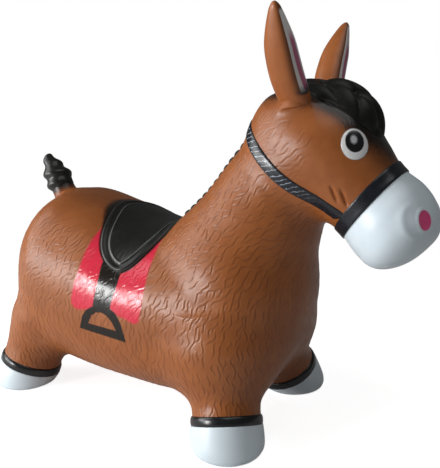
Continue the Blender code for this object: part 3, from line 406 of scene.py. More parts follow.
@dataclass(frozen=True)
class Form:
    """A rounded form: superellipse sections carried along a straight axis in the mid-plane.

    The rows hold shares: the station along the length, the outline's top and bottom over the axis in shares
    of depth, and the half width in shares of half the width. Pear says how much wider a section is below.
    """

    start: Pair
    pitch: float
    length: float
    depth: float
    width: float
    rows: Rows
    squareness: float
    back_cap: float
    front_cap: float
    pear: float = 0.0

    @property
    def foot(self) -> Array:
        """The axis's first point."""
        return np.array((self.start[0], 0.0, self.start[1]))

    @property
    def axis(self) -> Array:
        """The unit vector along the form."""
        return np.array((math.cos(self.pitch), 0.0, math.sin(self.pitch)))

    @property
    def up(self) -> Array:
        """The unit vector square to the axis in the mid-plane."""
        return np.array((-math.sin(self.pitch), 0.0, math.cos(self.pitch)))

    def at(self, along: float, lift: float = 0.0) -> Array:
        """Find the point at a distance along the axis, and lifted off it in the mid-plane."""
        return self.foot + along * self.axis + lift * self.up

    def section(self, along: Array) -> tuple[Array, Array, Array]:
        """Read the section at each distance along.

        Args:
            along: Distances along the axis.

        Returns:
            The section's middle over the axis, its reach up and down from there, and its half width.
        """
        top, bottom, side = smooth_rows(self.rows, along / self.length).T
        return (top + bottom) / 2 * self.depth, (top - bottom) / 2 * self.depth, side * self.width / 2

    def distance(self, points: Array) -> Array:
        """Measure how far points lie outside the form, negative inside.

        The section is a superellipse: the sum of the two shares to the power of squareness is 1. The scale c
        at which it passes through a point is found by repeating c times the point's share at that scale. A
        rounded end adds the share q of the cap that is passed, as (c^b + q^b)^(1/b) with the end bluntness b.
        The distance is the length from the form's core to the point, times 1 less 1 over that sum.

        Args:
            points: Points about the feet's middle.

        Returns:
            One distance for each point.
        """
        offset = points - self.foot
        along = offset @ self.axis
        lift = offset @ self.up
        aside = offset[:, 1]
        middle, reach, half = self.section(np.clip(along, 0, self.length))
        scale = np.ones(len(points))
        for _ in range(5):
            rise = (lift / scale - middle) / reach
            lean = signed_power(np.clip(rise, -1, 1), self.squareness / 2) if self.pear else 0.0
            spread = aside / (scale * half * (1 - self.pear * lean))
            share = np.abs(rise) ** self.squareness + np.abs(spread) ** self.squareness
            scale = np.clip(scale * share ** (1 / self.squareness), 1e-3, 40.0)
        behind = np.clip(self.back_cap - along, 0, None)
        ahead = np.clip(along - self.length + self.front_cap, 0, None)
        passed = behind / self.back_cap + ahead / self.front_cap
        total = (scale**END_BLUNTNESS + passed**END_BLUNTNESS) ** (1 / END_BLUNTNESS)
        core = np.sqrt(lift**2 + aside**2 + (behind + ahead) ** 2)
        return core * (1 - 1 / total)

    def rings(self, along: Array, sides: int, proud: Array | float = 0.0) -> Array:
        """Lay rings of points on the form.

        Args:
            along: The distance of each ring along the axis.
            sides: Points in a ring.
            proud: How far the points stand out from the axis beyond the form, one for each ring or point.

        Returns:
            Points as ring, place on the ring, coordinate.
        """
        along = np.asarray(along, float)
        middle, reach, half = self.section(along)
        close = np.ones_like(along)
        for distance, cap in ((along, self.back_cap), (self.length - along, self.front_cap)):
            close = close * rounded(distance / cap)
        angle = turn_angles(sides)
        rise = signed_power(np.sin(angle), 2 / self.squareness)
        spread = signed_power(np.cos(angle), 2 / self.squareness) * (1 - self.pear * np.sin(angle))
        lift = close[:, None] * (middle[:, None] + reach[:, None] * rise)
        aside = (close * half)[:, None] * spread
        centre = (close * middle)[:, None]
        size = np.maximum(np.hypot(lift - centre, aside), 1e-9)
        grow = np.broadcast_to(proud, size.shape) / size
        lift = lift + (lift - centre) * grow
        sidewards = (aside * (1 + grow))[..., None] * ACROSS
        return self.foot + along[:, None, None] * self.axis + lift[..., None] * self.up + sidewards


@dataclass(frozen=True)
class Limb:
    """A round form about a slanting axis whose radius follows a table, closed flat at both ends."""

    foot: Point
    axis: Point
    length: float
    radius: float
    rows: Rows

    def distance(self, points: Array) -> Array:
        """Measure how far points lie outside: off the axis less the radius, or past an end if that is more.

        Args:
            points: Points about the feet's middle.

        Returns:
            One distance for each point.
        """
        offset = points - np.array(self.foot)
        axis = np.array(self.axis)
        along = offset @ axis
        off_axis = np.linalg.norm(offset - along[:, None] * axis, axis=1)
        radius = smooth_rows(self.rows, along / self.length)[:, 0] * self.radius
        return np.maximum(off_axis - radius, np.maximum(-along, along - self.length))


TORSO = Form(
    start=(-0.19601, 0.160),
    pitch=0.0,
    length=0.429,
    depth=0.120,
    width=0.236,
    rows=(
        (0.00, 0.86, -0.76, 0.97),
        (0.15, 0.985, -0.97, 1.01),
        (0.32, 0.870, -1.06, 1.02),
        (0.50, 0.695, -1.08, 1.01),
        (0.66, 0.70, -1.08, 0.99),
        (0.85, 0.79, -0.99, 0.89),
        (1.00, 0.58, -0.69, 0.72),
    ),
    squareness=2.5,
    back_cap=0.085,
    front_cap=0.070,
    pear=0.09,
)
NECK = Form(
    start=(0.12501, 0.18000),
    pitch=math.radians(61),
    length=0.200,
    depth=0.100,
    width=0.190,
    rows=(
        (0.00, 0.91, -0.90, 0.90),
        (0.22, 0.88, -0.90, 0.91),
        (0.45, 0.76, -0.78, 0.80),
        (0.68, 0.68, -0.66, 0.66),
        (1.00, 0.52, -0.60, 0.58),
    ),
    squareness=2.1,
    back_cap=0.040,
    front_cap=0.030,
)
HEAD = Form(
    start=(0.17797, 0.40593),
    pitch=math.radians(-38),
    length=0.247,
    depth=0.066,
    width=0.124,
    rows=(
        (0.00, 0.36, -0.86, 0.80),
        (0.16, 0.65, -0.96, 0.92),
        (0.36, 0.94, -1.00, 1.00),
        (0.56, 0.75, -0.89, 0.87),
        (0.68, 0.61, -0.87, 0.78),
        (0.80, 0.62, -0.95, 0.86),
        (0.90, 0.54, -0.95, 0.86),
        (1.00, 0.43, -0.85, 0.76),
    ),
    squareness=2.15,
    back_cap=0.055,
    front_cap=0.042,
)
NOSEBAND_ALONG = 0.68 * HEAD.length


class Side(Enum):
    """The two sides of the horse, as signs along +Y."""

    LEFT = 1
    RIGHT = -1


class End(Enum):
    """The two ends of the body, as signs along +X."""

    FRONT = 1
    REAR = -1


@dataclass(frozen=True)
class Stance:
    """Where the feet stand, how the legs slant, and the cuffs' size."""

    forward: float = 0.3916 * TORSO.length
    aside: float = 0.3665 * TORSO.width
    cuff_z: float = 0.0285
    cuff_radius: float = 0.0440
    cuff_width: float = 0.0132
    leg_radius: float = 0.0395
    leg_length: float = 0.110
    front_lean: Pair = (math.radians(16), math.radians(23))
    rear_lean: Pair = (math.radians(15), math.radians(15))
    front_rows: Rows = ((0.00, 1.06), (0.12, 1.05), (0.27, 1.08), (0.45, 1.32), (0.70, 1.62), (1.00, 1.60))
    rear_rows: Rows = ((0.00, 1.06), (0.12, 1.05), (0.27, 1.06), (0.45, 1.13), (0.70, 1.20), (1.00, 0.85))

    def cuff(self, end: End, side: Side) -> Array:
        """Find the middle of a cuff."""
        return np.array((end.value * self.forward, side.value * self.aside, self.cuff_z))

    def axis(self, end: End, side: Side) -> Array:
        """Find the unit vector up a leg: it leans back over the body and in towards the middle."""
        along, out = self.front_lean if end is End.FRONT else self.rear_lean
        return unit(np.array((-end.value * math.tan(along), -side.value * math.tan(out), 1.0)))

    def limb(self, end: End, side: Side) -> Limb:
        """Shape a leg, from the foot of its cuff up into the torso.

        Args:
            end: Front or rear.
            side: Left or right.

        Returns:
            The leg's form.
        """
        axis = self.axis(end, side)
        foot = self.cuff(end, side) - self.cuff_width / 2 * axis
        rows = self.front_rows if end is End.FRONT else self.rear_rows
        return Limb(tuple(foot), tuple(axis), self.leg_length, self.leg_radius, rows)


@dataclass(frozen=True)
class EarRoot:
    """Where an ear grows from the head, and the stump of skin that it grows on."""

    along: float = 0.1640 * HEAD.length
    lift: float = 0.518 * HEAD.depth
    aside: float = 0.395 * HEAD.width
    outward: float = math.radians(31)
    backward: float = math.radians(2)
    radius: float = 0.0120
    height: float = 0.012

    def foot(self, side: Side) -> Array:
        """Find the middle of the ear's joint."""
        return HEAD.at(self.along, self.lift) + side.value * self.aside * ACROSS

    def axis(self, side: Side) -> Array:
        """Find the unit vector up the ear."""
        return unit(np.array((-math.tan(self.backward), side.value * math.tan(self.outward), 1.0)))

    def stump(self, side: Side) -> Limb:
        """Shape the stump inside the ear's foot."""
        rows = ((0.0, 1.0), (0.7, 0.97), (1.0, 0.8))
        return Limb(tuple(self.foot(side)), tuple(self.axis(side)), self.height, self.radius, rows)


@dataclass(frozen=True)
class DockRoot:
    """Where the tail grows from the rump."""

    along: float = 0.0909 * TORSO.length
    lift: float = 0.80 * TORSO.depth
    lean: float = math.radians(31)
    radius: float = 0.0160
    height: float = 0.012

    @property
    def foot(self) -> Array:
        """The middle of the tail's joint."""
        return TORSO.at(self.along, self.lift)

    @property
    def axis(self) -> Array:
        """The unit vector up the dock."""
        return np.array((-math.sin(self.lean), 0.0, math.cos(self.lean)))

    def stump(self) -> Limb:
        """Shape the stump inside the dock's foot."""
        rows = ((0.0, 1.0), (0.7, 0.95), (1.0, 0.75))
        return Limb(tuple(self.foot), tuple(self.axis), self.height, self.radius, rows)


@dataclass
class BodyShape:
    """All the forms of the moulding, joined with fillets.

    Without its whole head the shape ends flat at the noseband, where the muzzle's own skin takes over.
    """

    whole_head: bool = True
    stance: Stance = field(default_factory=Stance)
    ear_root: EarRoot = field(default_factory=EarRoot)
    dock_root: DockRoot = field(default_factory=DockRoot)
    neck_fillet: float = 0.034
    head_fillet: float = 0.022
    leg_fillet: float = 0.030
    root_fillet: float = 0.027
    legs_below: float = 0.215
    roots_above: float = 0.20
    limbs: list[Limb] = field(init=False)
    stumps: list[Limb] = field(init=False)

    def __post_init__(self) -> None:
        """Shape the legs and stumps."""
        self.limbs = [self.stance.limb(end, side) for end in End for side in Side]
        self.stumps = [self.ear_root.stump(side) for side in Side] + [self.dock_root.stump()]

    def distance(self, points: Array) -> Array:
        """Measure how far points lie outside the moulding.

        The torso's distance is joined with the neck's, the head's, the legs' and the stumps', each with a
        fillet of its own width. Legs and stumps only count at the heights where they can reach.

        Args:
            points: Points about the feet's middle.

        Returns:
            One distance for each point, negative inside.
        """
        total = blended(TORSO.distance(points), NECK.distance(points), self.neck_fillet)
        head = HEAD.distance(points)
        if not self.whole_head:
            head = np.maximum(head, (points - HEAD.foot) @ HEAD.axis - NOSEBAND_ALONG)
        total = blended(total, head, self.head_fillet)
        low = points[:, 2] < self.legs_below
        high = points[:, 2] > self.roots_above
        groups = ((low, self.limbs, self.leg_fillet), (high, self.stumps, self.root_fillet))
        for near, limbs, fillet in groups:
            there = points[near]
            part = total[near]
            for limb in limbs:
                part = blended(part, limb.distance(there), fillet)
            total[near] = part
        return total

    def settle(self, points: Array, rounds: int) -> tuple[Array, Array]:
        """Move points onto the surface along the gradient.

        Each round takes off the distance times the gradient over its square.

        Args:
            points: Points near the surface.
            rounds: How many times they are moved.

        Returns:
            The points on the surface, and the unit normals there.
        """
        slope = np.zeros_like(points)
        for _ in range(rounds):
            here, slope = slope_of(self.distance, points)
            square = np.maximum((slope**2).sum(1), 0.05)
            points = points - (here / square)[:, None] * slope
        return points, unit(slope)

    def reach(self, origins: Array, ways: Array, far: float = 0.26, steps: int = 26) -> tuple[Array, Array]:
        """Find the outermost surface point on each ray.

        Each ray is tried at even steps from its far end inwards until it is inside, and the crossing is then
        halved eleven times.

        Args:
            origins: Inner ends of the rays.
            ways: Unit vectors outwards.
            far: How long the rays are.
            steps: How many trials a ray gets.

        Returns:
            The points on the surface, and the unit normals there.
        """
        tried = np.linspace(far, 0.0, steps)
        outer = np.full(len(origins), far)
        inner = np.zeros(len(origins))
        open_rays = np.arange(len(origins))
        for before, here in zip(tried, tried[1:]):
            inside = self.distance(origins[open_rays] + here * ways[open_rays]) < 0
            hit = open_rays[inside]
            outer[hit] = before
            inner[hit] = here
            open_rays = open_rays[~inside]
            if not len(open_rays):
                break
        for _ in range(11):
            middle = (outer + inner) / 2
            inside = self.distance(origins + middle[:, None] * ways) < 0
            inner = np.where(inside, middle, inner)
            outer = np.where(inside, outer, middle)
        points = origins + ((outer + inner) / 2)[:, None] * ways
        return points, unit(slope_of(self.distance, points)[1])


# The engraved coat


@dataclass(frozen=True)
class Coat:
    """Short wavy strokes engraved in the vinyl, laid out like hair."""

    half_length: float = 0.0092
    along_spacing: float = 0.0140
    across_spacing: float = 0.0055
    sway: float = 0.0016
    groove_width: float = 0.00078
    groove_depth: float = 0.00036
    ridge_offset: float = 0.0018
    ridge_share: float = 0.75
    thickness: float = 0.006
    cell: float = 0.0045
    flank_lean: float = math.radians(38)
    crest_lean: float = math.radians(36)
    throat_lean: float = math.radians(76)
    brow_lean: float = math.radians(56)
    jaw_lean: float = math.radians(72)
    scatter: float = math.radians(7)
    faintest: float = 0.06
    seed: int = 7

    def lean(self, points: Array) -> Array:
        """Say how far the strokes lean from upright towards the nose, in radians.

        Rump and upper flank lean forwards, and the lean fades down the flank to nothing on legs and chest. On
        the neck it grows from the crest to the throat, and on the head from the brow to the jaw.

        Args:
            points: Points about the feet's middle.

        Returns:
            One angle for each point.
        """
        flank = self.flank_lean * ramp(points[:, 2], 0.10, 0.20)
        neck = points - NECK.foot
        on_neck = ramp(neck @ NECK.axis, 0.03, 0.11) * ramp(points[:, 0], 0.10, 0.16)
        throat = ramp(-(neck @ NECK.up), -0.035, 0.035)
        neck_lean = self.crest_lean + (self.throat_lean - self.crest_lean) * throat
        head = points - HEAD.foot
        on_head = ramp(head @ HEAD.axis, 0.0, 0.05) * ramp(head @ HEAD.up, -0.06, -0.035)
        jaw = ramp(-(head @ HEAD.up), 0.0, 0.04)
        head_lean = self.brow_lean + (self.jaw_lean - self.brow_lean) * jaw
        lean = flank * (1 - on_neck) + neck_lean * on_neck
        return lean * (1 - on_head) + head_lean * on_head

    def strength(self, points: Array, normals: Array) -> Array:
        """Say how deep the strokes are, from 0 to 1.

        They fade where the skin faces up, along the crest, on the face past the cheeks and round the ears.

        Args:
            points: Points about the feet's middle.
            normals: Unit normals there.

        Returns:
            One share for each point.
        """
        head = points - HEAD.foot
        along = head @ HEAD.axis
        lift = head @ HEAD.up
        neck_lift = (points - NECK.foot) @ NECK.up
        share = 1 - ramp(normals[:, 2], 0.62, 0.90)
        crest = ramp(neck_lift, 0.03, 0.05) * ramp(points[:, 2], 0.22, 0.27)
        share = share * (1 - crest * (1 - ramp(np.abs(points[:, 1]), 0.006, 0.028)))
        on_head = ramp(lift, -0.062, -0.045) * ramp(along, -0.01, 0.01)
        face = ramp(along, 0.075, 0.125) * ramp(lift, -0.05, -0.03)
        brow = ramp(lift, 0.005, 0.03)
        return share * (1 - on_head * (0.35 + 0.65 * np.maximum(face, brow)))

    def seeds(self, points: Array, normals: Array, strength: Array) -> Strokes:
        """Choose where the strokes lie.

        Points are drawn one to a small cubic cell. Each has a random rank, and a point is kept where no
        better-ranked one lies within an ellipse about it, long along the stroke and narrow across it. Kept
        points strike out their neighbours, and the choice is repeated.

        Args:
            points: Points of the skin.
            normals: Unit normals there.
            strength: Depth shares there.

        Returns:
            The strokes' middles, normals, directions and strengths.
        """
        chance = np.random.default_rng(self.seed)
        rank = chance.random(len(points))
        cell = np.floor(points / self.cell).astype(np.int64) + 512
        key = (cell[:, 0] * 1024 + cell[:, 1]) * 1024 + cell[:, 2]
        usable = np.flatnonzero(strength > self.faintest)
        order = usable[np.lexsort((rank[usable], key[usable]))]
        first = np.append(True, np.diff(key[order]) != 0)
        drawn = order[first]
        middle, normal, depth, rank = points[drawn], normals[drawn], strength[drawn], rank[drawn]
        lean = self.lean(middle) + chance.normal(0, self.scatter, len(middle))
        way = np.stack((np.sin(lean), np.zeros_like(lean), np.cos(lean)), axis=1)
        way = unit(way - (way * normal).sum(1)[:, None] * normal)
        across = np.cross(normal, way)
        near, other = pairs_within(middle, middle, self.along_spacing)
        apart = near != other
        near, other = near[apart], other[apart]
        gap = middle[other] - middle[near]
        lengthways = (gap * way[near]).sum(1) / self.along_spacing
        size = np.hypot(lengthways, (gap * across[near]).sum(1) / self.across_spacing)
        same_face = (normal[near] * normal[other]).sum(1) > 0.3
        close = (size < 1) & same_face
        near, other = near[close], other[close]
        kept = np.zeros(len(middle), bool)
        open_points = np.ones(len(middle), bool)
        for _ in range(14):
            live = open_points[near] & open_points[other]
            best = np.full(len(middle), 2.0)
            np.minimum.at(best, near[live], rank[other[live]])
            chosen = open_points & (rank < best)
            kept |= chosen
            open_points &= ~chosen
            open_points[other[chosen[near]]] = False
            if not open_points.any():
                break
        return middle[kept], normal[kept], way[kept], depth[kept]

    def relief(self, points: Array, normals: Array, strokes: Strokes) -> tuple[Array, Array]:
        """Work out the engraving's height at each point.

        In a stroke's own frame, u runs along it and v across. Its centre line is v = sway times the sine of
        pi times u over the half length, shifted by a random phase. The groove is a bell curve across that
        line, and the ridge beside it a wider one. Both die away at the stroke's ends. Where strokes meet, the
        deepest groove and the highest ridge count.

        Args:
            points: Points of the skin.
            normals: Unit normals there.
            strokes: Middles, normals, directions and strengths of the strokes.

        Returns:
            The height of each point, and how deep in a groove it lies from 0 to 1.
        """
        middle, normal, way, depth = strokes
        chance = np.random.default_rng(self.seed + 1)
        half = self.half_length * chance.uniform(0.72, 1.25, len(middle))
        turn = np.where(chance.random(len(middle)) < 0.82, 1.0, -1.0)
        phase = chance.uniform(-1.2, 1.2, len(middle))
        sway = self.sway * chance.uniform(0.65, 1.35, len(middle)) * turn
        stroke, point = pairs_within(middle, points, self.half_length * 1.3 + 0.002)
        offset = points[point] - middle[stroke]
        u = (offset * way[stroke]).sum(1)
        v = (offset * np.cross(normal, way)[stroke]).sum(1)
        w = (offset * normal[stroke]).sum(1)
        same_face = (normals[point] * normal[stroke]).sum(1) > 0.2
        near = (np.abs(v) < 0.008) & (np.abs(w) < self.thickness) & same_face
        stroke, point, u, v = stroke[near], point[near], u[near], v[near]
        share = u / half[stroke]
        line = sway[stroke] * (np.sin(math.pi * share + phase[stroke]) - np.sin(phase[stroke]))
        fade = np.clip(1 - share**2, 0, 1) ** 0.7 * depth[stroke]
        groove = bell(v, line, self.groove_width) * fade
        ridge = bell(v - line, self.ridge_offset, 1.35 * self.groove_width) * fade
        deep = np.zeros(len(points))
        high = np.zeros(len(points))
        np.maximum.at(deep, point, groove)
        np.maximum.at(high, point, ridge)
        return self.groove_depth * (self.ridge_share * high * (1 - deep) - deep), deep


# Paint laid on the skin


@dataclass(frozen=True)
class FlankPaint:
    """The saddle cloth, leathers and stirrups sprayed on both flanks.

    Corners are (x, roll in degrees): roll is the angle about the torso's axis from straight up.
    """

    radius: float = 0.118
    saddle_middle: Pair = (0.004, 0.0)
    saddle: Rows = (
        (0.0520, 0.0),
        (0.0555, 14.0),
        (0.0570, 28.0),
        (0.0545, 42.0),
        (0.0482, 55.0),
        (0.0375, 65.0),
        (0.0228, 70.0),
        (0.0078, 68.2),
        (-0.0060, 63.0),
        (-0.0172, 55.5),
        (-0.0255, 46.0),
        (-0.0325, 35.0),
        (-0.0400, 23.5),
        (-0.0480, 12.0),
        (-0.0530, 0.0),
    )
    rear_cloth: Rows = (
        (-0.0300, 30.0),
        (-0.0345, 54.0),
        (-0.0375, 73.0),
        (-0.0450, 90.5),
        (-0.0446, 94.5),
        (-0.0405, 97.0),
        (-0.0340, 97.8),
        (-0.0120, 96.0),
        (0.0040, 92.0),
        (0.0060, 40.0),
    )
    front_cloth: Rows = (
        (0.0120, 50.0),
        (0.0550, 28.0),
        (0.0635, 57.0),
        (0.0660, 75.0),
        (0.0655, 90.0),
        (0.0630, 97.5),
        (0.0565, 99.3),
        (0.0252, 95.5),
        (0.0171, 92.5),
        (0.0100, 84.0),
    )
    leather: Rows = (
        (-0.0065, 60.0),
        (0.0265, 60.0),
        (0.0248, 78.0),
        (0.0182, 93.5),
        (-0.0092, 94.0),
        (-0.0050, 80.0),
    )
    iron: Rows = (
        (-0.0305, 108.4),
        (-0.0256, 101.2),
        (-0.0190, 97.0),
        (-0.0080, 94.0),
        (0.0030, 92.8),
        (0.0160, 93.1),
        (0.0272, 95.8),
        (0.0352, 101.2),
        (0.0425, 110.6),
    )
    iron_hole: Rows = (
        (-0.0165, 104.7),
        (-0.0112, 99.8),
        (-0.0035, 97.3),
        (0.0045, 96.6),
        (0.0130, 97.8),
        (0.0215, 101.0),
        (0.0280, 105.7),
    )
    iron_grown: float = 0.0008

    def flat(self, points: Array) -> tuple[Array, Array]:
        """Unroll points of either flank: x stays, and the roll angle times the radius is the other way."""
        roll = np.arctan2(np.abs(points[:, 1]), points[:, 2] - TORSO.start[1])
        return points[:, 0], roll * self.radius

    def unrolled(self, corners: Rows) -> Rows:
        """Bring corners from degrees of roll to metres."""
        return tuple((x, math.radians(roll) * self.radius) for x, roll in corners)

    def saddle_outline(self, half: int = 80) -> Array:
        """Trace the saddle's outline, unrolled, from its front over one flank and back over the other.

        Args:
            half: How many points on each flank.

        Returns:
            Rows of (x, distance round the back).
        """
        rows = tuple((k, *corner) for k, corner in enumerate(self.unrolled(self.saddle)))
        flank = smooth_rows(rows, np.linspace(0, len(rows) - 1, half))
        return np.vstack((flank, flank[-2:0:-1] * np.array((1.0, -1.0))))

    def values(self, points: Array) -> dict[str, Array]:
        """Measure how far points lie from each painted shape's edge, negative inside.

        Args:
            points: Points of the skin.

        Returns:
            Distances to the red cloth and to the black leather and stirrup iron.
        """
        x, roll = self.flat(points)
        near = (x > -0.09) & (x < 0.11) & (roll < 0.26) & (roll > 0.03) & (points[:, 2] < 0.30)
        shapes = (self.rear_cloth, self.front_cloth, self.leather, self.iron, self.iron_hole)
        edges = [polygon_distance(x[near], roll[near], self.unrolled(corners)) for corners in shapes]
        rear, front, leather, iron, hole = edges
        cloth = np.full(len(points), FAR_FROM_PAINT)
        black = np.full(len(points), FAR_FROM_PAINT)
        cloth[near] = np.minimum(rear, front)
        black[near] = np.minimum(leather, np.maximum(iron - self.iron_grown, -hole))
        return {"cloth_edge": cloth, "black_edge": black}

    def saddle_shadow(self, points: Array) -> Array:
        """Say how much black mist lies round the saddle's upper edge, from 0 to 1.

        It falls from the saddle's edge outwards, wide near the back's ridge and narrow down the flank.

        Args:
            points: Points of the skin.

        Returns:
            One share for each point.
        """
        x, roll = self.flat(points)
        near = (np.abs(x) < 0.16) & (roll < 0.20) & (points[:, 2] > 0.16) & (points[:, 2] < 0.30)
        mist = np.zeros(len(points))
        outside = polygon_distance(x[near], roll[near], self.saddle_outline())
        wide = 0.005 + 0.017 * (1 - ramp(roll[near], 0.030, 0.090))
        mist[near] = 1 - ramp(outside / wide, 0.0, 1.0)
        return mist


@dataclass(frozen=True)
class HairPaint:
    """Black mist sprayed round the mane and forelock."""

    back: float = math.radians(128)
    front: float = math.radians(4)
    spread: float = math.radians(36)
    middle: float = 0.3036 * HEAD.length

    def forelock_share(self, points: Array) -> Array:
        """Say how far out in the forelock's patch a point lies: 0 at its middle, 1 at its rim.

        The direction from a point in the head is read as pitch and yaw, each in shares of the patch.

        Args:
            points: Points of the skin.

        Returns:
            One share for each point, large where the point isn't on the head.
        """
        way = unit(points - HEAD.at(self.middle))
        pitch = np.arctan2(way[:, 2], way[:, 0])
        yaw = np.arcsin(np.clip(way[:, 1], -1, 1))
        turned = (pitch - (self.back + self.front) / 2) / ((self.back - self.front) / 2)
        return np.where(points[:, 2] > 0.33, np.hypot(turned, yaw / self.spread), 9.0)

    def mist(self, points: Array) -> Array:
        """Say how much black lies on the skin from mane and forelock together, from 0 to 1.

        Args:
            points: Points of the skin.

        Returns:
            One share for each point.
        """
        brow = (1 - ramp(self.forelock_share(points), 0.95, 1.75)) ** 1.3
        x = points[:, 0]
        lift = (points - NECK.foot) @ NECK.up
        crest = ramp(lift, 0.03, 0.045) * ramp(x, 0.040, 0.055) * (1 - ramp(x, 0.215, 0.235))
        ridge = crest * (1 - ramp(np.abs(points[:, 1]), 0.005, 0.0115))
        return np.maximum(brow, 0.92 * ridge)


# The skin


def surface_net(field_values: Array, corner: Array, step: float) -> Sheet:
    """Turn a grid of distances into a closed surface of quads.

    Each cell that the surface passes through gets one point, the mean of the crossings on its edges. Each
    grid edge that is crossed gets a face of its four cells' points.

    Args:
        field_values: Distances at the grid's corners, negative inside.
        corner: The grid's first corner.
        step: The grid's spacing.

    Returns:
        The surface with its faces outwards.
    """
    inside = field_values < 0
    cells = np.array(field_values.shape) - 1
    count = np.zeros(cells, np.int8)
    for offset in np.ndindex(2, 2, 2):
        part = tuple(slice(o, o + n) for o, n in zip(offset, cells))
        count += inside[part]
    active = np.argwhere((count > 0) & (count < 8))
    number = np.full(cells, -1, np.int64)
    number[tuple(active.T)] = np.arange(len(active))
    total = np.zeros((len(active), 3))
    crossings = np.zeros(len(active))
    for axis in range(3):
        for offset in np.ndindex(2, 2):
            near = np.insert(np.array(offset), axis, 0)
            far = np.insert(np.array(offset), axis, 1)
            a = field_values[tuple((active + near).T)]
            b = field_values[tuple((active + far).T)]
            cross = (a < 0) != (b < 0)
            share = np.where(cross, a / np.where(cross, a - b, 1), 0)
            place = near + share[:, None] * (far - near)
            total += np.where(cross[:, None], place, 0)
            crossings += cross
    points = corner + step * (active + total / crossings[:, None])
    faces = []
    for axis in range(3):
        others = [k for k in range(3) if k != axis]
        low = np.take(inside, range(cells[axis]), axis)
        high = np.take(inside, range(1, cells[axis] + 1), axis)
        edges = np.argwhere(low != high)
        edges = edges[(edges[:, others[0]] > 0) & (edges[:, others[1]] > 0)]
        ring = []
        for a, b in ((0, 0), (1, 0), (1, 1), (0, 1)):
            cell = edges.copy()
            cell[:, others[0]] -= a
            cell[:, others[1]] -= b
            ring.append(number[tuple(cell.T)])
        quads = np.stack(ring, axis=1)
        flip = low[tuple(edges.T)] ^ (axis == 1)
        quads[flip] = quads[flip][:, ::-1]
        faces.append(quads)
    return Sheet(points, [np.vstack(faces)]).outward()


def divide(sheet: Sheet) -> Sheet:
    """Cut each quad into four, at the middles of its edges and face.

    Args:
        sheet: The quads, with their points and values.

    Returns:
        The finer sheet.
    """
    quads = sheet.faces[0]
    ends = np.stack((quads, np.roll(quads, -1, axis=1)), axis=-1).reshape(-1, 2)
    ends = np.sort(ends, axis=1)
    size = len(sheet.points)
    keys, place = np.unique(ends[:, 0] * size + ends[:, 1], return_inverse=True)
    edge_points = (sheet.points[keys // size] + sheet.points[keys % size]) / 2
    face_points = sheet.points[quads].mean(axis=1)
    middle = size + place.reshape(-1, 4)
    centre = (size + len(keys) + np.arange(len(quads)))[:, None].repeat(4, 1)
    parts = np.stack((quads, middle, centre, np.roll(middle, 1, axis=1)), axis=-1).reshape(-1, 4)
    return Sheet(np.vstack((sheet.points, edge_points, face_points)), [parts])


def relax(sheet: Sheet, share: float) -> Array:
    """Move each point a share of the way to the mean of its neighbours along the faces' edges.

    Args:
        sheet: The sheet.
        share: How far each point moves.

    Returns:
        The moved points.
    """
    quads = sheet.faces[0]
    here = quads.ravel()
    following = np.roll(quads, -1, axis=1).ravel()
    size = len(sheet.points)
    count = np.bincount(here, minlength=size).astype(float)
    mean = np.stack([np.bincount(here, sheet.points[following, k], size) for k in range(3)], axis=1)
    return sheet.points + share * (mean / np.maximum(count, 1)[:, None] - sheet.points)


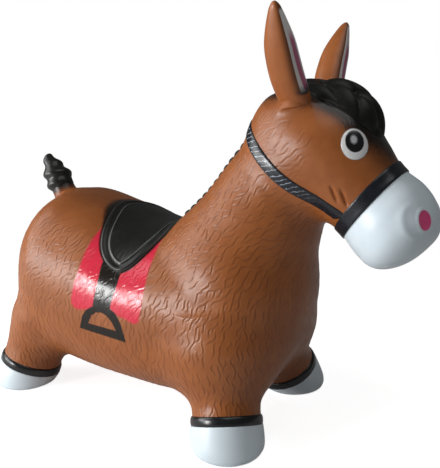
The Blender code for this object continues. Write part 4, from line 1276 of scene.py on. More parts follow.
@dataclass
class Skin:
    """The vinyl skin of body, neck, head and legs, as one closed surface.

    Paint fills the strokes by a share of their depth.
    """

    shape: BodyShape
    coat: Coat = field(default_factory=Coat)
    flank_paint: FlankPaint = field(default_factory=FlankPaint)
    hair_paint: HairPaint = field(default_factory=HairPaint)
    step: float = 0.0021
    coarse: int = 4
    band: float = 0.020
    corner: Point = (-0.236, -0.150, 0.006)
    far_corner: Point = (0.345, 0.150, 0.462)
    cheek_creases: Rows = ((0.2800, 0.0525, 0.3080, 0.0085), (0.2905, 0.0485, 0.3050, 0.0085))
    crease_depth: float = 0.0026
    crease_width: float = 0.0019
    paint_fill: float = 0.4

    def distances(self) -> Array:
        """Fill a grid with distances, finely only near the surface.

        A coarse grid is worked out first. Fine points are worked out where the nearest coarse value is within
        the band, and elsewhere take the coarse value.

        Returns:
            The grid's distances.
        """
        low, high = np.array(self.corner), np.array(self.far_corner)
        cells = np.ceil((high - low) / (self.step * self.coarse)).astype(int)
        axes = [low[k] + self.step * self.coarse * np.arange(cells[k] + 1) for k in range(3)]
        grid = np.stack(np.meshgrid(*axes, indexing="ij"), axis=-1)
        rough = self.shape.distance(grid.reshape(-1, 3)).reshape(grid.shape[:3])
        index = [np.arange(cells[k] * self.coarse + 1) for k in range(3)]
        nearest = [np.minimum((i + self.coarse // 2) // self.coarse, cells[k]) for k, i in enumerate(index)]
        values = rough[np.ix_(*nearest)].copy()
        fine = np.argwhere(np.abs(values) < self.band)
        values[tuple(fine.T)] = self.shape.distance(low + self.step * fine)
        return values

    def creases(self, points: Array) -> Array:
        """Press two soft upright creases into each cheek.

        Each is a bell curve, narrow along x and long down the cheek.

        Args:
            points: Points of the skin.

        Returns:
            The height of each point, negative in a crease.
        """
        height = np.zeros(len(points))
        for x, y, z, long in self.cheek_creases:
            across = points[:, 0] - x + 0.35 * (points[:, 2] - z)
            near = np.abs(np.abs(points[:, 1]) - y) < 0.02
            fade = np.exp(-(((points[:, 2] - z) / long) ** 4))
            height -= near * bell(across, 0.0, self.crease_width) * fade
        return self.crease_depth * height

    def build(self) -> Piece:
        """Make the skin: net, divide, settle, engrave and measure the paint.

        Returns:
            The finished object.
        """
        sheet = surface_net(self.distances(), np.array(self.corner), self.step)
        sheet.points, _ = self.shape.settle(sheet.points, 2)
        for _ in range(2):
            sheet.points = relax(sheet, 0.5)
        sheet = divide(sheet)
        sheet.points, normals = self.shape.settle(sheet.points, 2)
        strength = self.coat.strength(sheet.points, normals)
        strokes = self.coat.seeds(sheet.points, normals, strength)
        height, groove = self.coat.relief(sheet.points, normals, strokes)
        log.info("skin: %d points, %d strokes of coat", len(sheet.points), len(strokes[0]))
        sheet.values = self.flank_paint.values(sheet.points)
        painted = np.minimum(*sheet.values.values()) < 0
        height = height * (1 - self.paint_fill * painted) + self.creases(sheet.points)
        mist = np.maximum(self.flank_paint.saddle_shadow(sheet.points), self.hair_paint.mist(sheet.points))
        sheet.values |= {"groove": groove, "mist": mist}
        sheet.points = sheet.points + height[:, None] * normals
        return make_object("skin", sheet.outward())


# Finishes


class Graph:
    """Adds nodes to one node tree and links them."""

    def __init__(self, tree: Tree) -> None:
        """Take the tree to draw in."""
        self.tree = tree

    def node(self, kind: str, sockets: dict[str | int, object] | None = None, **settings: object) -> Node:
        """Add a node.

        Args:
            kind: The node's type name.
            sockets: Values or other nodes' outputs for its inputs, by name or number.
            settings: The node's own properties.

        Returns:
            The new node.
        """
        node = self.tree.nodes.new(kind)
        for name, value in settings.items():
            setattr(node, name, value)
        for key, value in (sockets or {}).items():
            if isinstance(value, Socket):
                self.tree.links.new(value, node.inputs[key])
            else:
                node.inputs[key].default_value = value
        return node

    def reckon(self, operation: str, *values: object) -> Socket:
        """Add a Math node and hand back its result."""
        return self.node("ShaderNodeMath", dict(enumerate(values)), operation=operation).outputs[0]

    def value_on(self, name: str) -> Socket:
        """Read a value that rides on the mesh's points."""
        return self.node("ShaderNodeAttribute", attribute_name=name).outputs["Fac"]

    def place(self) -> Socket:
        """Read a point's place in the object's own frame."""
        return self.node("ShaderNodeTexCoord").outputs["Object"]

    def noise(self, size: object, detail: float, roughness: float = 0.5, place: object = None) -> Socket:
        """Add a noise, over the object's own frame where no place is given, and hand back its value.

        Args:
            size: The noise's scale.
            detail: Its octaves.
            roughness: How strong the finer octaves are.
            place: Where the noise is read.

        Returns:
            The noise's value.
        """
        vector = self.place() if place is None else place
        sockets = {"Vector": vector, "Scale": size, "Detail": detail, "Roughness": roughness}
        return self.node("ShaderNodeTexNoise", sockets).outputs[0]

    def shift(self, share: object, first: object, second: object) -> Socket:
        """Mix two colours by a share and hand back the colour."""
        return self.node("ShaderNodeMix", {0: share, 6: first, 7: second}, data_type="RGBA").outputs[2]

    def mixed(self, share: Socket, first: Socket, second: Socket) -> Socket:
        """Mix two shaders by a share."""
        return self.node("ShaderNodeMixShader", {0: share, 1: first, 2: second}).outputs[0]

    def span(
        self,
        value: object,
        low: float,
        high: float,
        to_low: float = 0.0,
        to_high: float = 1.0,
        smooth: bool = True,
    ) -> Socket:
        """Map a value from one span to another, smoothly or evenly, and hand back the result.

        Args:
            value: What is mapped.
            low: Where the span starts.
            high: Where it ends.
            to_low: The result at its start.
            to_high: The result at its end.
            smooth: Whether the result eases in and out.

        Returns:
            The mapped value.
        """
        kind = "SMOOTHSTEP" if smooth else "LINEAR"
        sockets = {0: value, 1: low, 2: high, 3: to_low, 4: to_high}
        return self.node("ShaderNodeMapRange", sockets, interpolation_type=kind).outputs[0]

    def call(self, group: Tree, **sockets: object) -> Socket:
        """Use a group, its inputs named in small letters, and hand back its output."""
        given = {name.capitalize(): value for name, value in sockets.items()}
        return self.node("ShaderNodeGroup", given, node_tree=group).outputs[0]


class Group(Graph):
    """A node group with numbers for inputs and one output."""

    def __init__(self, name: str, inputs: dict[str, float], output: str, kind: str = "Float") -> None:
        """Start the group.

        Args:
            name: The group's name.
            inputs: Defaults by input name.
            output: The output's name.
            kind: The output's kind of socket.
        """
        super().__init__(bpy.data.node_groups.new(name, "ShaderNodeTree"))
        for key, default in inputs.items():
            socket = self.tree.interface.new_socket(key, in_out="INPUT", socket_type="NodeSocketFloat")
            socket.default_value = default
        self.tree.interface.new_socket(output, in_out="OUTPUT", socket_type=f"NodeSocket{kind}")
        self.given = self.node("NodeGroupInput").outputs

    def handing_out(self, value: Socket) -> Tree:
        """Link the output, and hand back the finished group."""
        self.tree.links.new(value, self.node("NodeGroupOutput").inputs[0])
        return self.tree


class Effects:
    """Shader groups that several finishes share."""

    def __init__(self) -> None:
        """Draw the groups."""
        self.mottle = self.draw_mottle()
        self.grain = self.draw_grain()
        self.spray = self.draw_spray()
        self.scuffs = self.draw_scuffs()

    @staticmethod
    def draw_mottle() -> Tree:
        """Draw a slow blotchy share from two noises, one four times finer than the other.

        Returns:
            The group, which puts out a share.
        """
        group = Group("paint_mottle", {"Size": 18.0}, "Share")
        size = group.given["Size"]
        slow = group.reckon("MULTIPLY", group.noise(size, 3.0, 0.55), 0.6)
        quick = group.noise(group.reckon("MULTIPLY", size, 4.0), 2.0)
        return group.handing_out(group.span(group.reckon("MULTIPLY_ADD", quick, 0.4, slow), 0.34, 0.66))

    @staticmethod
    def draw_grain() -> Tree:
        """Draw the fine pebbling of moulded vinyl over a slow sag, as a bumped normal.

        Returns:
            The group, which puts out a normal.
        """
        group = Group("moulded_grain", {"Size": 900.0, "Height": 5e-5}, "Normal", "Vector")
        pebbles = group.noise(group.given["Size"], 2.0)
        height = group.reckon("MULTIPLY_ADD", group.noise(55.0, 1.0), 3.0, pebbles)
        sockets = {"Strength": 1.0, "Distance": group.given["Height"], "Height": height}
        return group.handing_out(group.node("ShaderNodeBump", sockets).outputs[0])

    @staticmethod
    def draw_spray() -> Tree:
        """Draw a sprayed edge: a distance turns into a share over a soft span, ragged by a fine noise.

        Returns:
            The group, which puts out a share.
        """
        group = Group("sprayed_edge", {"Distance": 0.0, "Softness": 0.002, "Ragged": 0.001}, "Share")
        lean = group.reckon("SUBTRACT", group.noise(420.0, 3.0), 0.5)
        edge = group.reckon("MULTIPLY_ADD", lean, group.given["Ragged"], group.given["Distance"])
        share = group.reckon("DIVIDE", edge, group.given["Softness"])
        return group.handing_out(group.span(share, -1.0, 1.0, 1.0, 0.0))

    @staticmethod
    def draw_scuffs() -> Tree:
        """Draw faint streaks and smudges: a noise stretched along X, cut to its peaks.

        Returns:
            The group, which puts out a share.
        """
        group = Group("light_scuffs", {"Size": 60.0}, "Share")
        sockets = {"Vector": group.place(), "Rotation": (0.3, 0.8, 0.2), "Scale": (0.35, 1.0, 2.2)}
        turned = group.node("ShaderNodeMapping", sockets).outputs[0]
        return group.handing_out(group.span(group.noise(group.given["Size"], 5.0, place=turned), 0.56, 0.74))


@dataclass
class Paintwork:
    """A finish in the making: its material, graph and shader, its colour so far, and the shared effects."""

    material: Material
    graph: Graph
    shader: Node
    colour: Socket
    effects: Effects

    def lay(self, share: Socket, colour: Colour) -> None:
        """Lay a colour over what is there, as thickly as the share says."""
        self.colour = self.graph.shift(share, self.colour, colour)

    def sprayed(self, edge: str, softness: float, ragged: float) -> Socket:
        """Turn a distance that rides on the mesh into a sprayed share."""
        distance = self.graph.value_on(edge)
        return self.graph.call(self.effects.spray, distance=distance, softness=softness, ragged=ragged)

    def link(self, value: Socket, name: str) -> None:
        """Link a value to an input of the shader."""
        self.graph.tree.links.new(value, self.shader.inputs[name])

    def finished(self, name: str = "") -> Material:
        """Link the colour, rename the material where a name is given, and hand it back.

        Args:
            name: The material's name, where it isn't the vinyl's.

        Returns:
            The material.
        """
        self.link(self.colour, "Base Color")
        self.material.name = name or self.material.name
        return self.material


@dataclass(frozen=True)
class Vinyl:
    """Moulded or sprayed vinyl of one colour, mottled towards a second."""

    name: str
    colour: Colour
    shade: Colour
    roughness: float = 0.40
    gloss: float = 0.5
    coat: float = 0.0
    coat_roughness: float = 0.15
    grain: float = 4e-5
    scuffed: float = 0.12

    def start(self, effects: Effects) -> Paintwork:
        """Start a material with this finish's gloss, grain and mottled colour.

        Args:
            effects: The shared shader groups.

        Returns:
            The finish in the making.
        """
        material = bpy.data.materials.new(self.name)
        material.use_nodes = True
        graph = Graph(material.node_tree)
        shader = material.node_tree.nodes["Principled BSDF"]
        shader.inputs["Specular IOR Level"].default_value = self.gloss
        shader.inputs["Coat Weight"].default_value = self.coat
        shader.inputs["Coat Roughness"].default_value = self.coat_roughness
        colour = graph.shift(graph.call(effects.mottle), self.shade, self.colour)
        paint = Paintwork(material, graph, shader, colour, effects)
        paint.link(graph.call(effects.grain, height=self.grain), "Normal")
        worn = min(1.0, self.roughness + self.scuffed)
        paint.link(graph.span(graph.call(effects.scuffs), 0.0, 1.0, self.roughness, worn, False), "Roughness")
        return paint

    def plain(self, effects: Effects) -> Material:
        """Make the material with nothing painted on it."""
        return self.start(effects).finished()


BROWN = Vinyl("brown_vinyl", (0.372, 0.120, 0.034, 1), (0.320, 0.098, 0.026, 1), 0.34, 0.38)
WHITE = Vinyl("white_vinyl", (0.81, 0.92, 0.985, 1), (0.78, 0.89, 0.96, 1), 0.34, 0.45)
BLACK = Vinyl("black_paint", (0.010, 0.011, 0.012, 1), (0.014, 0.015, 0.016, 1), 0.24, grain=1e-5)
HAIR_BLACK = Vinyl("hair_paint", (0.008, 0.008, 0.007, 1), (0.013, 0.013, 0.010, 1), 0.40, 0.22, grain=2e-5)
SADDLE_BLACK = Vinyl(
    "saddle_paint", (0.011, 0.012, 0.011, 1), (0.017, 0.018, 0.016, 1), 0.30, 0.45, grain=2e-5
)
STRAP_BLACK = Vinyl("strap_paint", (0.010, 0.012, 0.016, 1), (0.015, 0.018, 0.025, 1), 0.24, grain=1e-5)
VALVE_GREY = Vinyl("valve_plastic", (0.50, 0.51, 0.52, 1), (0.46, 0.47, 0.48, 1), 0.35)
EYE_WHITE = Vinyl("eye_paint", (0.88, 0.88, 0.87, 1), (0.84, 0.84, 0.84, 1), 0.22, coat=0.3, grain=1e-5)
LASH_BLACK = Vinyl("lash_ink", (0.010, 0.009, 0.009, 1), (0.014, 0.012, 0.012, 1), 0.4, grain=1e-5)

RED = (0.72, 0.032, 0.066, 1.0)
INK = (0.012, 0.013, 0.015, 1.0)
SOOT = (0.013, 0.009, 0.006, 1.0)
# Dark brown: painted shade in the skin's grooves; on the ears' fronts, airbrush and painted shade together.
DARK_BROWN = (0.12, 0.042, 0.018, 1.0)
CRIMSON = (0.92, 0.11, 0.30, 1.0)
LINING_GREY = (0.80, 0.78, 0.76, 1.0)
LINING_MAUVE = (0.52, 0.15, 0.25, 1.0)
RIDGE_HIGHLIGHT = (0.15, 0.16, 0.15, 1.0)
RUB_AND_SHEEN = (0.44, 0.48, 0.54, 1.0)
SOLE_GREY = (0.42, 0.41, 0.40, 1.0)
EYE_RIM = (0.30, 0.30, 0.31, 1.0)
EYE_SHADE = (0.45, 0.46, 0.48, 1.0)
PUPIL = (0.008, 0.008, 0.009, 1.0)
GLINT_RIM = (0.20, 0.20, 0.21, 1.0)
GLINT = (0.62, 0.63, 0.64, 1.0)
PAINT_ROUGHNESS = 0.17


def skin_material(effects: Effects) -> Material:
    """Dress the skin: brown with painted shade in the grooves, with red cloth, black leather and black mist
    sprayed on.

    Args:
        effects: The shared shader groups.

    Returns:
        The material.
    """
    paint = BROWN.start(effects)
    graph = paint.graph
    groove = graph.value_on("groove")
    # Painted shade: the grooves' brown darkened by their depth.
    paint.lay(graph.reckon("MULTIPLY", groove, 0.4), DARK_BROWN)
    cloth = paint.sprayed("cloth_edge", 0.0024, 0.002)
    # The red thins in the deepest grooves, so that their painted shade shows through.
    paint.lay(graph.reckon("MULTIPLY", cloth, graph.span(groove, 0.35, 1.0, 1.0, 0.62)), RED)
    cloudy = graph.span(graph.call(effects.mottle, size=60.0), 0.0, 1.0, 0.86, 1.0)
    mist = graph.span(graph.reckon("MULTIPLY", graph.value_on("mist"), cloudy), 0.05, 0.85)
    dark = graph.reckon("MAXIMUM", paint.sprayed("black_edge", 0.0009, 0.0008), mist)
    paint.lay(dark, SOOT)
    painted = graph.reckon("MAXIMUM", cloth, dark)
    paint.link(graph.span(painted, 0.0, 1.0, BROWN.roughness, PAINT_ROUGHNESS, False), "Roughness")
    return paint.finished()


def put_on(piece: Piece, material: Material, body: str, slot: str, *nodes: str) -> None:
    """Dress a piece, let it ride a body, and let it stand for its CAD nodes.

    Args:
        piece: The finished object.
        material: Its material.
        body: The CAD body that it rides on, or nothing, where it rides none.
        slot: Not used.
        nodes: The CAD nodes that it stands for.
    """
    piece.data.materials.append(material)
    if body:
        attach(piece, body)
    if nodes:
        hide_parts(*nodes)
    log.info("%s: %d faces on %s", piece.name, len(piece.data.polygons), body or "a blend")


# Head


@dataclass
class Muzzle:
    """The white muzzle from the noseband to the lips, with nostrils, their raised rims and chin folds."""

    sides: int = 160
    rings: int = 110
    tuck: float = 0.003
    nostril: Point = (0.3699, 0.0306, 0.2854)
    nostril_size: Pair = (0.0086, 0.0104)
    nostril_depth: float = 0.0012
    facing: Point = (0.86, 0.50, 0.12)
    rim_height: float = 0.0007
    crescent_setback: float = 0.0155
    crescent_height: float = 0.0010
    folds: Rows = (
        (0.3300, 0.0330, 0.2370, 0.012),
        (0.3400, 0.0300, 0.2380, 0.011),
        (0.3490, 0.0290, 0.2420, 0.009),
    )
    fold_depth: float = 0.0010
    fold_width: float = 0.0017

    def nostril_relief(self, points: Array) -> tuple[Array, Array]:
        """Work out the relief of a nostril, its rim and the crescent behind it.

        The nostril is an upright ellipse in its own plane, with a bead round it. The crescent is a ridge with
        a dip before it, along a larger ellipse on the side towards the cheek.

        Args:
            points: Points of the muzzle, brought to the left side.

        Returns:
            The height of each point, and its distance from the nostril's edge.
        """
        facing = unit(np.array(self.facing))
        level = unit(np.cross(UPRIGHT, facing))
        own = points - np.array(self.nostril)
        u = own @ level
        v = own @ np.cross(facing, level)
        wide, tall = self.nostril_size
        share = np.hypot(u / wide, v / tall)
        height = self.rim_height * bell(share, 1.12, 0.16)
        height -= self.nostril_depth * (1 - ramp(share, 0.55, 0.98))
        crescent = np.hypot((u - 0.001) / (wide + self.crescent_setback), v / (2.1 * tall))
        reach = ramp(u, 0.002, 0.014) * (1 - ramp(np.abs(v), 0.010, 0.021))
        ridge = bell(crescent, 1.0, 0.15) - 0.20 * bell(crescent, 0.62, 0.22)
        height += self.crescent_height * ridge * reach
        near = np.abs(own @ facing) < 0.030
        return near * height, np.where(near, (share - 1) * min(wide, tall), 0.05)

    def fold_relief(self, points: Array) -> Array:
        """Work out the chin folds' relief: each is a bell curve, narrow across and long along the fold.

        Args:
            points: Points of the muzzle, brought to the left side.

        Returns:
            The height of each point, negative in a fold.
        """
        across = unit(np.array((0.35, 0.55, 0.75)))
        lengthways = unit(np.array((0.80, -0.60, 0.05)))
        height = np.zeros(len(points))
        for x, y, z, long in self.folds:
            gap = points - np.array((x, y, z))
            height -= bell(gap @ across, 0.0, self.fold_width) * bell(gap @ lengthways, 0.0, long)
        return self.fold_depth * height

    def build(self, effects: Effects) -> None:
        """Make the muzzle: rings of the head's form, pushed out and in along their normals.

        Args:
            effects: The shared shader groups.
        """
        half = self.rings // 2
        along = capped_stations(NOSEBAND_ALONG - self.tuck, HEAD.length, HEAD.front_cap, half, half)
        points = HEAD.rings(along, self.sides)
        flat = points.reshape(-1, 3)
        normals = unit(slope_of(HEAD.distance, flat)[1])
        on_left = flat * np.where(flat[:, 1:2] < 0, np.array((1.0, -1.0, 1.0)), 1.0)
        relief, nostril = self.nostril_relief(on_left)
        moved = flat + (relief + self.fold_relief(on_left))[:, None] * normals
        values = {"nostril_edge": nostril.reshape(points.shape[:2])}
        piece = make_object("muzzle_skin", loft(moved.reshape(points.shape), values))
        paint = WHITE.start(effects)
        paint.lay(paint.sprayed("nostril_edge", 0.0005, 0.0004), CRIMSON)
        put_on(piece, paint.finished(), "body", "white_vinyl", "muzzle")


@dataclass
class Bridle:
    """The noseband and the cheek strap, both raised bands painted black."""

    shape: BodyShape
    band_width: float = 0.0150
    band_thickness: float = 0.0017
    strap_width: float = 0.0142
    strap_thickness: float = 0.0016
    edge_sunk: float = 0.002
    noseband_lift: float = 0.0002
    crest: Pair = (-0.0154, -0.468)
    chin: Pair = (0.698, -0.4395)
    span: float = math.radians(150)
    sag: float = 0.010
    steps: int = 460
    rubbed_and_lit: Pair = (0.282, 0.330)
    stroke_spacing: float = 0.0074
    stroke_slant: float = -0.9

    def bow(self, width: float, thickness: float, points: int = 13) -> tuple[Array, Array]:
        """Shape a band's section: flat on top with rounded shoulders, sunk a little at both edges.

        Height is thickness times the fourth root of 1 less the place across to the fourth.

        Args:
            width: The band's width.
            thickness: How far it stands out.
            points: Points across.

        Returns:
            Places across from the middle, and heights.
        """
        place = np.sin(np.linspace(-math.pi / 2, math.pi / 2, points))
        height = thickness * np.clip(1 - place**4, 0, 1) ** 0.25
        across = place * width / 2
        sunk = (-self.edge_sunk,)
        return np.concatenate((across[:1], across, across[-1:])), np.concatenate((sunk, height, sunk))

    def build(self, effects: Effects) -> None:
        """Make both bands and dress them.

        Args:
            effects: The shared shader groups.
        """
        across, height = self.bow(self.band_width, self.band_thickness)
        rings = HEAD.rings(NOSEBAND_ALONG + across, 200, (height + self.noseband_lift)[:, None])
        band = make_object("noseband_paint", loft(rings, looped=True))
        put_on(band, STRAP_BLACK.plain(effects), "body", "black_vinyl", "noseband")
        strap = make_object("cheek_strap_paint", self.strap())
        put_on(strap, self.material(effects), "body", "black_vinyl", "cheek_strap")

    def strap(self) -> Sheet:
        """Lay the cheek strap: a fan of rays from the chord between its ends finds the skin.

        Returns:
            The strap as a closed sheet.
        """
        crest = HEAD.at(self.crest[0] * HEAD.length, self.crest[1] * HEAD.depth)
        chin = HEAD.at(self.chin[0] * HEAD.length, self.chin[1] * HEAD.depth)
        back = unit(crest - chin)
        square = np.cross(ACROSS, back)
        across, height = self.bow(self.strap_width, self.strap_thickness, 25)
        angle = np.linspace(-self.span, self.span, self.steps)
        way = np.cos(angle)[:, None] * back + np.sin(angle)[:, None] * ACROSS
        sag = self.sag * np.sin(angle) ** 2
        origin = (crest + chin) / 2 + (across[None, :] - sag[:, None])[..., None] * square
        ways = np.broadcast_to(way[:, None, :], origin.shape)
        points, normals = self.shape.reach(origin.reshape(-1, 3), ways.reshape(-1, 3))
        rings = points.reshape(origin.shape) + height[None, :, None] * normals.reshape(origin.shape)
        middle = rings[:, across.size // 2]
        run = np.concatenate(((0.0,), np.cumsum(np.linalg.norm(np.diff(middle, axis=0), axis=1))))
        slanted = np.abs(run - run.mean())[:, None] + self.stroke_slant * across[None, :]
        place = slanted / self.stroke_spacing
        inner = 1 - ramp(np.abs(across) / self.strap_width, 0.34, 0.46)
        # The pale strokes are partly rubbed wear and partly painted highlight, stronger towards the top of
        # the strap.
        return loft(rings, {"stroke_place": place, "rub_and_sheen": ramp(rings[..., 2], *self.rubbed_and_lit) * inner})

    @staticmethod
    def material(effects: Effects) -> Material:
        """Dress the strap: bluish black, with thin slanting strokes painted pale where a noise lets them,
        partly rubbed wear and partly painted highlight on the ridges, stronger towards the top.

        Args:
            effects: The shared shader groups.

        Returns:
            The strap's material.
        """
        paint = STRAP_BLACK.start(effects)
        graph = paint.graph
        stray = graph.reckon("MULTIPLY", graph.call(effects.mottle, size=75.0), 0.35)
        place = graph.reckon("ADD", graph.value_on("stroke_place"), stray)
        stroke = graph.span(graph.reckon("PINGPONG", place, 0.5), 0.38, 0.49)
        # Painted highlight together with rubbed wear: pale slanting strokes.
        worn = graph.reckon("MULTIPLY", stroke, graph.value_on("rub_and_sheen"))
        paint.lay(graph.span(worn, 0.15, 0.8, 0.0, 0.9), RUB_AND_SHEEN)
        return paint.finished("cheek_strap_paint")


@dataclass
class Eyes:
    """Two slightly domed painted eyes with lashes over them."""

    shape: BodyShape
    along: float = 0.4291 * HEAD.length
    lift: float = 0.1667 * HEAD.depth
    angle: float = math.radians(34)
    upward_share: float = 0.4
    half_height: float = 0.0168
    half_width: float = 0.0150
    dome: float = 0.0018
    edge_sunk: float = 0.0015
    pupil_middle: Pair = (-0.0004, 0.0026)
    pupil_size: Pair = (0.0102, 0.0116)
    glint_middle: Pair = (-0.0014, 0.0046)
    glint_size: Pair = (0.0031, 0.0038)
    glint_rim: float = 1.42
    soft_edge: Pair = (0.93, 1.07)
    lashes: Rows = (
        (-0.0092, 0.0140, -0.0128, 0.0250),
        (-0.0062, 0.0160, -0.0082, 0.0285),
        (-0.0026, 0.0172, -0.0030, 0.0292),
        (0.0012, 0.0176, 0.0026, 0.0280),
    )
    lash_width: float = 0.0011
    lash_bow: float = 0.0012
    lash_lift: float = 0.0001
    lash_thickness: float = 0.00035

    def frame(self, side: Side) -> tuple[Array, Array, Array, Array]:
        """Find an eye's inner middle, the way it faces, and its level and upward directions.

        Level runs towards the nose on either side.

        Args:
            side: Which eye.

        Returns:
            The middle and the three directions.
        """
        forward = math.sin(self.angle)
        facing = unit(np.array((forward, math.cos(self.angle) * side.value, forward * self.upward_share)))
        level = unit(np.cross(UPRIGHT, facing)) * -side.value
        return HEAD.at(self.along, self.lift), facing, level, np.cross(level, facing) * side.value

    def laid(self, side: Side, u: Array, v: Array, height: Array) -> Array:
        """Lay points of the eye's plane on the head, and stand them off it.

        Args:
            side: Which eye.
            u: Places towards the nose.
            v: Places upwards.
            height: How far each stands out.

        Returns:
            The points.
        """
        middle, facing, level, upward = self.frame(side)
        origin = middle + u.ravel()[:, None] * level + v.ravel()[:, None] * upward
        points, _ = self.shape.reach(origin, np.broadcast_to(facing, origin.shape), far=0.10, steps=21)
        return (points + height.ravel()[:, None] * facing).reshape(*u.shape, 3)

    def build(self, effects: Effects) -> None:
        """Make both eyes and their lashes.

        Args:
            effects: The shared shader groups.
        """
        material = self.material(effects)
        ink = LASH_BLACK.plain(effects)
        for side in Side:
            name = side.name.lower()
            angle = np.linspace(0, 2 * math.pi, 96, endpoint=False)[None, :]
            ring = np.concatenate((np.linspace(0.02, 1, 40), (1.015,)))[:, None]
            u = self.half_width * ring * np.cos(angle)
            v = self.half_height * ring * np.sin(angle)
            height = self.dome * np.sqrt(np.clip(1 - 0.985 * ring**2.6, 0, 1)) * np.ones_like(angle)
            height[-1] = -self.edge_sunk
            sheet = loft(self.laid(side, u, v, height)[::-1], {"eye_u": u[::-1], "eye_v": v[::-1]})
            eye = make_object(f"eye_paint_{name}", sheet)
            put_on(eye, material, "body", "white_vinyl", f"eye_{name}")
            lashes = make_object(f"lashes_{name}", self.lash_sheet(side))
            put_on(lashes, ink, "body", "black_vinyl")

    def lash_sheet(self, side: Side) -> Sheet:
        """Make an eye's lashes: each a curved strip that narrows to its tip.

        A lash runs from its root to its tip with a bow across, its width falling with the square root of what
        is left.

        Args:
            side: Which eye.

        Returns:
            All the eye's lashes as one sheet.
        """
        whole = None
        t = np.linspace(0, 1, 24)[:, None]
        turn = np.linspace(0, 2 * math.pi, 8, endpoint=False)[None, :]
        for root_u, root_v, tip_u, tip_v in self.lashes:
            run = np.array((tip_u - root_u, tip_v - root_v))
            square = np.array((-run[1], run[0])) / np.hypot(*run)
            bow = self.lash_bow * np.sin(math.pi * t) * np.sign(root_u + 0.0005)
            width = self.lash_width / 2 * np.sqrt(np.clip(1.02 - t, 0, 1)) * np.clip(0.4 + 3 * t, 0, 1)
            u = root_u + t * run[0] + (bow + width * np.cos(turn)) * square[0]
            v = root_v + t * run[1] + (bow + width * np.cos(turn)) * square[1]
            height = self.lash_lift + self.lash_thickness * np.sin(turn) * np.ones_like(t)
            sheet = loft(self.laid(side, u, v, height))
            whole = sheet if whole is None else whole.joined(sheet)
        return whole

    def inside(self, graph: Graph, middle: Pair, size: Pair) -> Socket:
        """Work out a share that is 1 inside an ellipse on the eye's plane, with a thin soft edge.

        Args:
            graph: The material's graph.
            middle: The ellipse's middle on that plane.
            size: Its two half widths.

        Returns:
            The share.
        """
        x = graph.reckon("DIVIDE", graph.reckon("SUBTRACT", graph.value_on("eye_u"), middle[0]), size[0])
        y = graph.reckon("DIVIDE", graph.reckon("SUBTRACT", graph.value_on("eye_v"), middle[1]), size[1])
        square = graph.reckon("MULTIPLY_ADD", x, x, graph.reckon("MULTIPLY", y, y))
        return graph.span(square, *self.soft_edge, 1.0, 0.0)

    def material(self, effects: Effects) -> Material:
        """Dress an eye: a white field with a grey rim and painted shade towards its bottom, a black pupil and
        a grey-ringed white glint.

        Args:
            effects: The shared shader groups.

        Returns:
            The eye's material.
        """
        paint = EYE_WHITE.start(effects)
        graph = paint.graph
        field_share = self.inside(graph, (0.0, 0.0), (self.half_width * 0.97, self.half_height * 0.97))
        paint.colour = graph.shift(field_share, EYE_RIM, paint.colour)
        # Painted shade: the white greys towards the eye's bottom.
        paint.lay(graph.span(graph.value_on("eye_v"), -self.half_height, 0.002, 0.15, 0.0), EYE_SHADE)
        paint.lay(self.inside(graph, self.pupil_middle, self.pupil_size), PUPIL)
        ring_size = (self.glint_rim * self.glint_size[0], self.glint_rim * self.glint_size[1])
        paint.lay(self.inside(graph, self.glint_middle, ring_size), GLINT_RIM)
        paint.lay(self.inside(graph, self.glint_middle, self.glint_size), GLINT)
        return paint.finished()


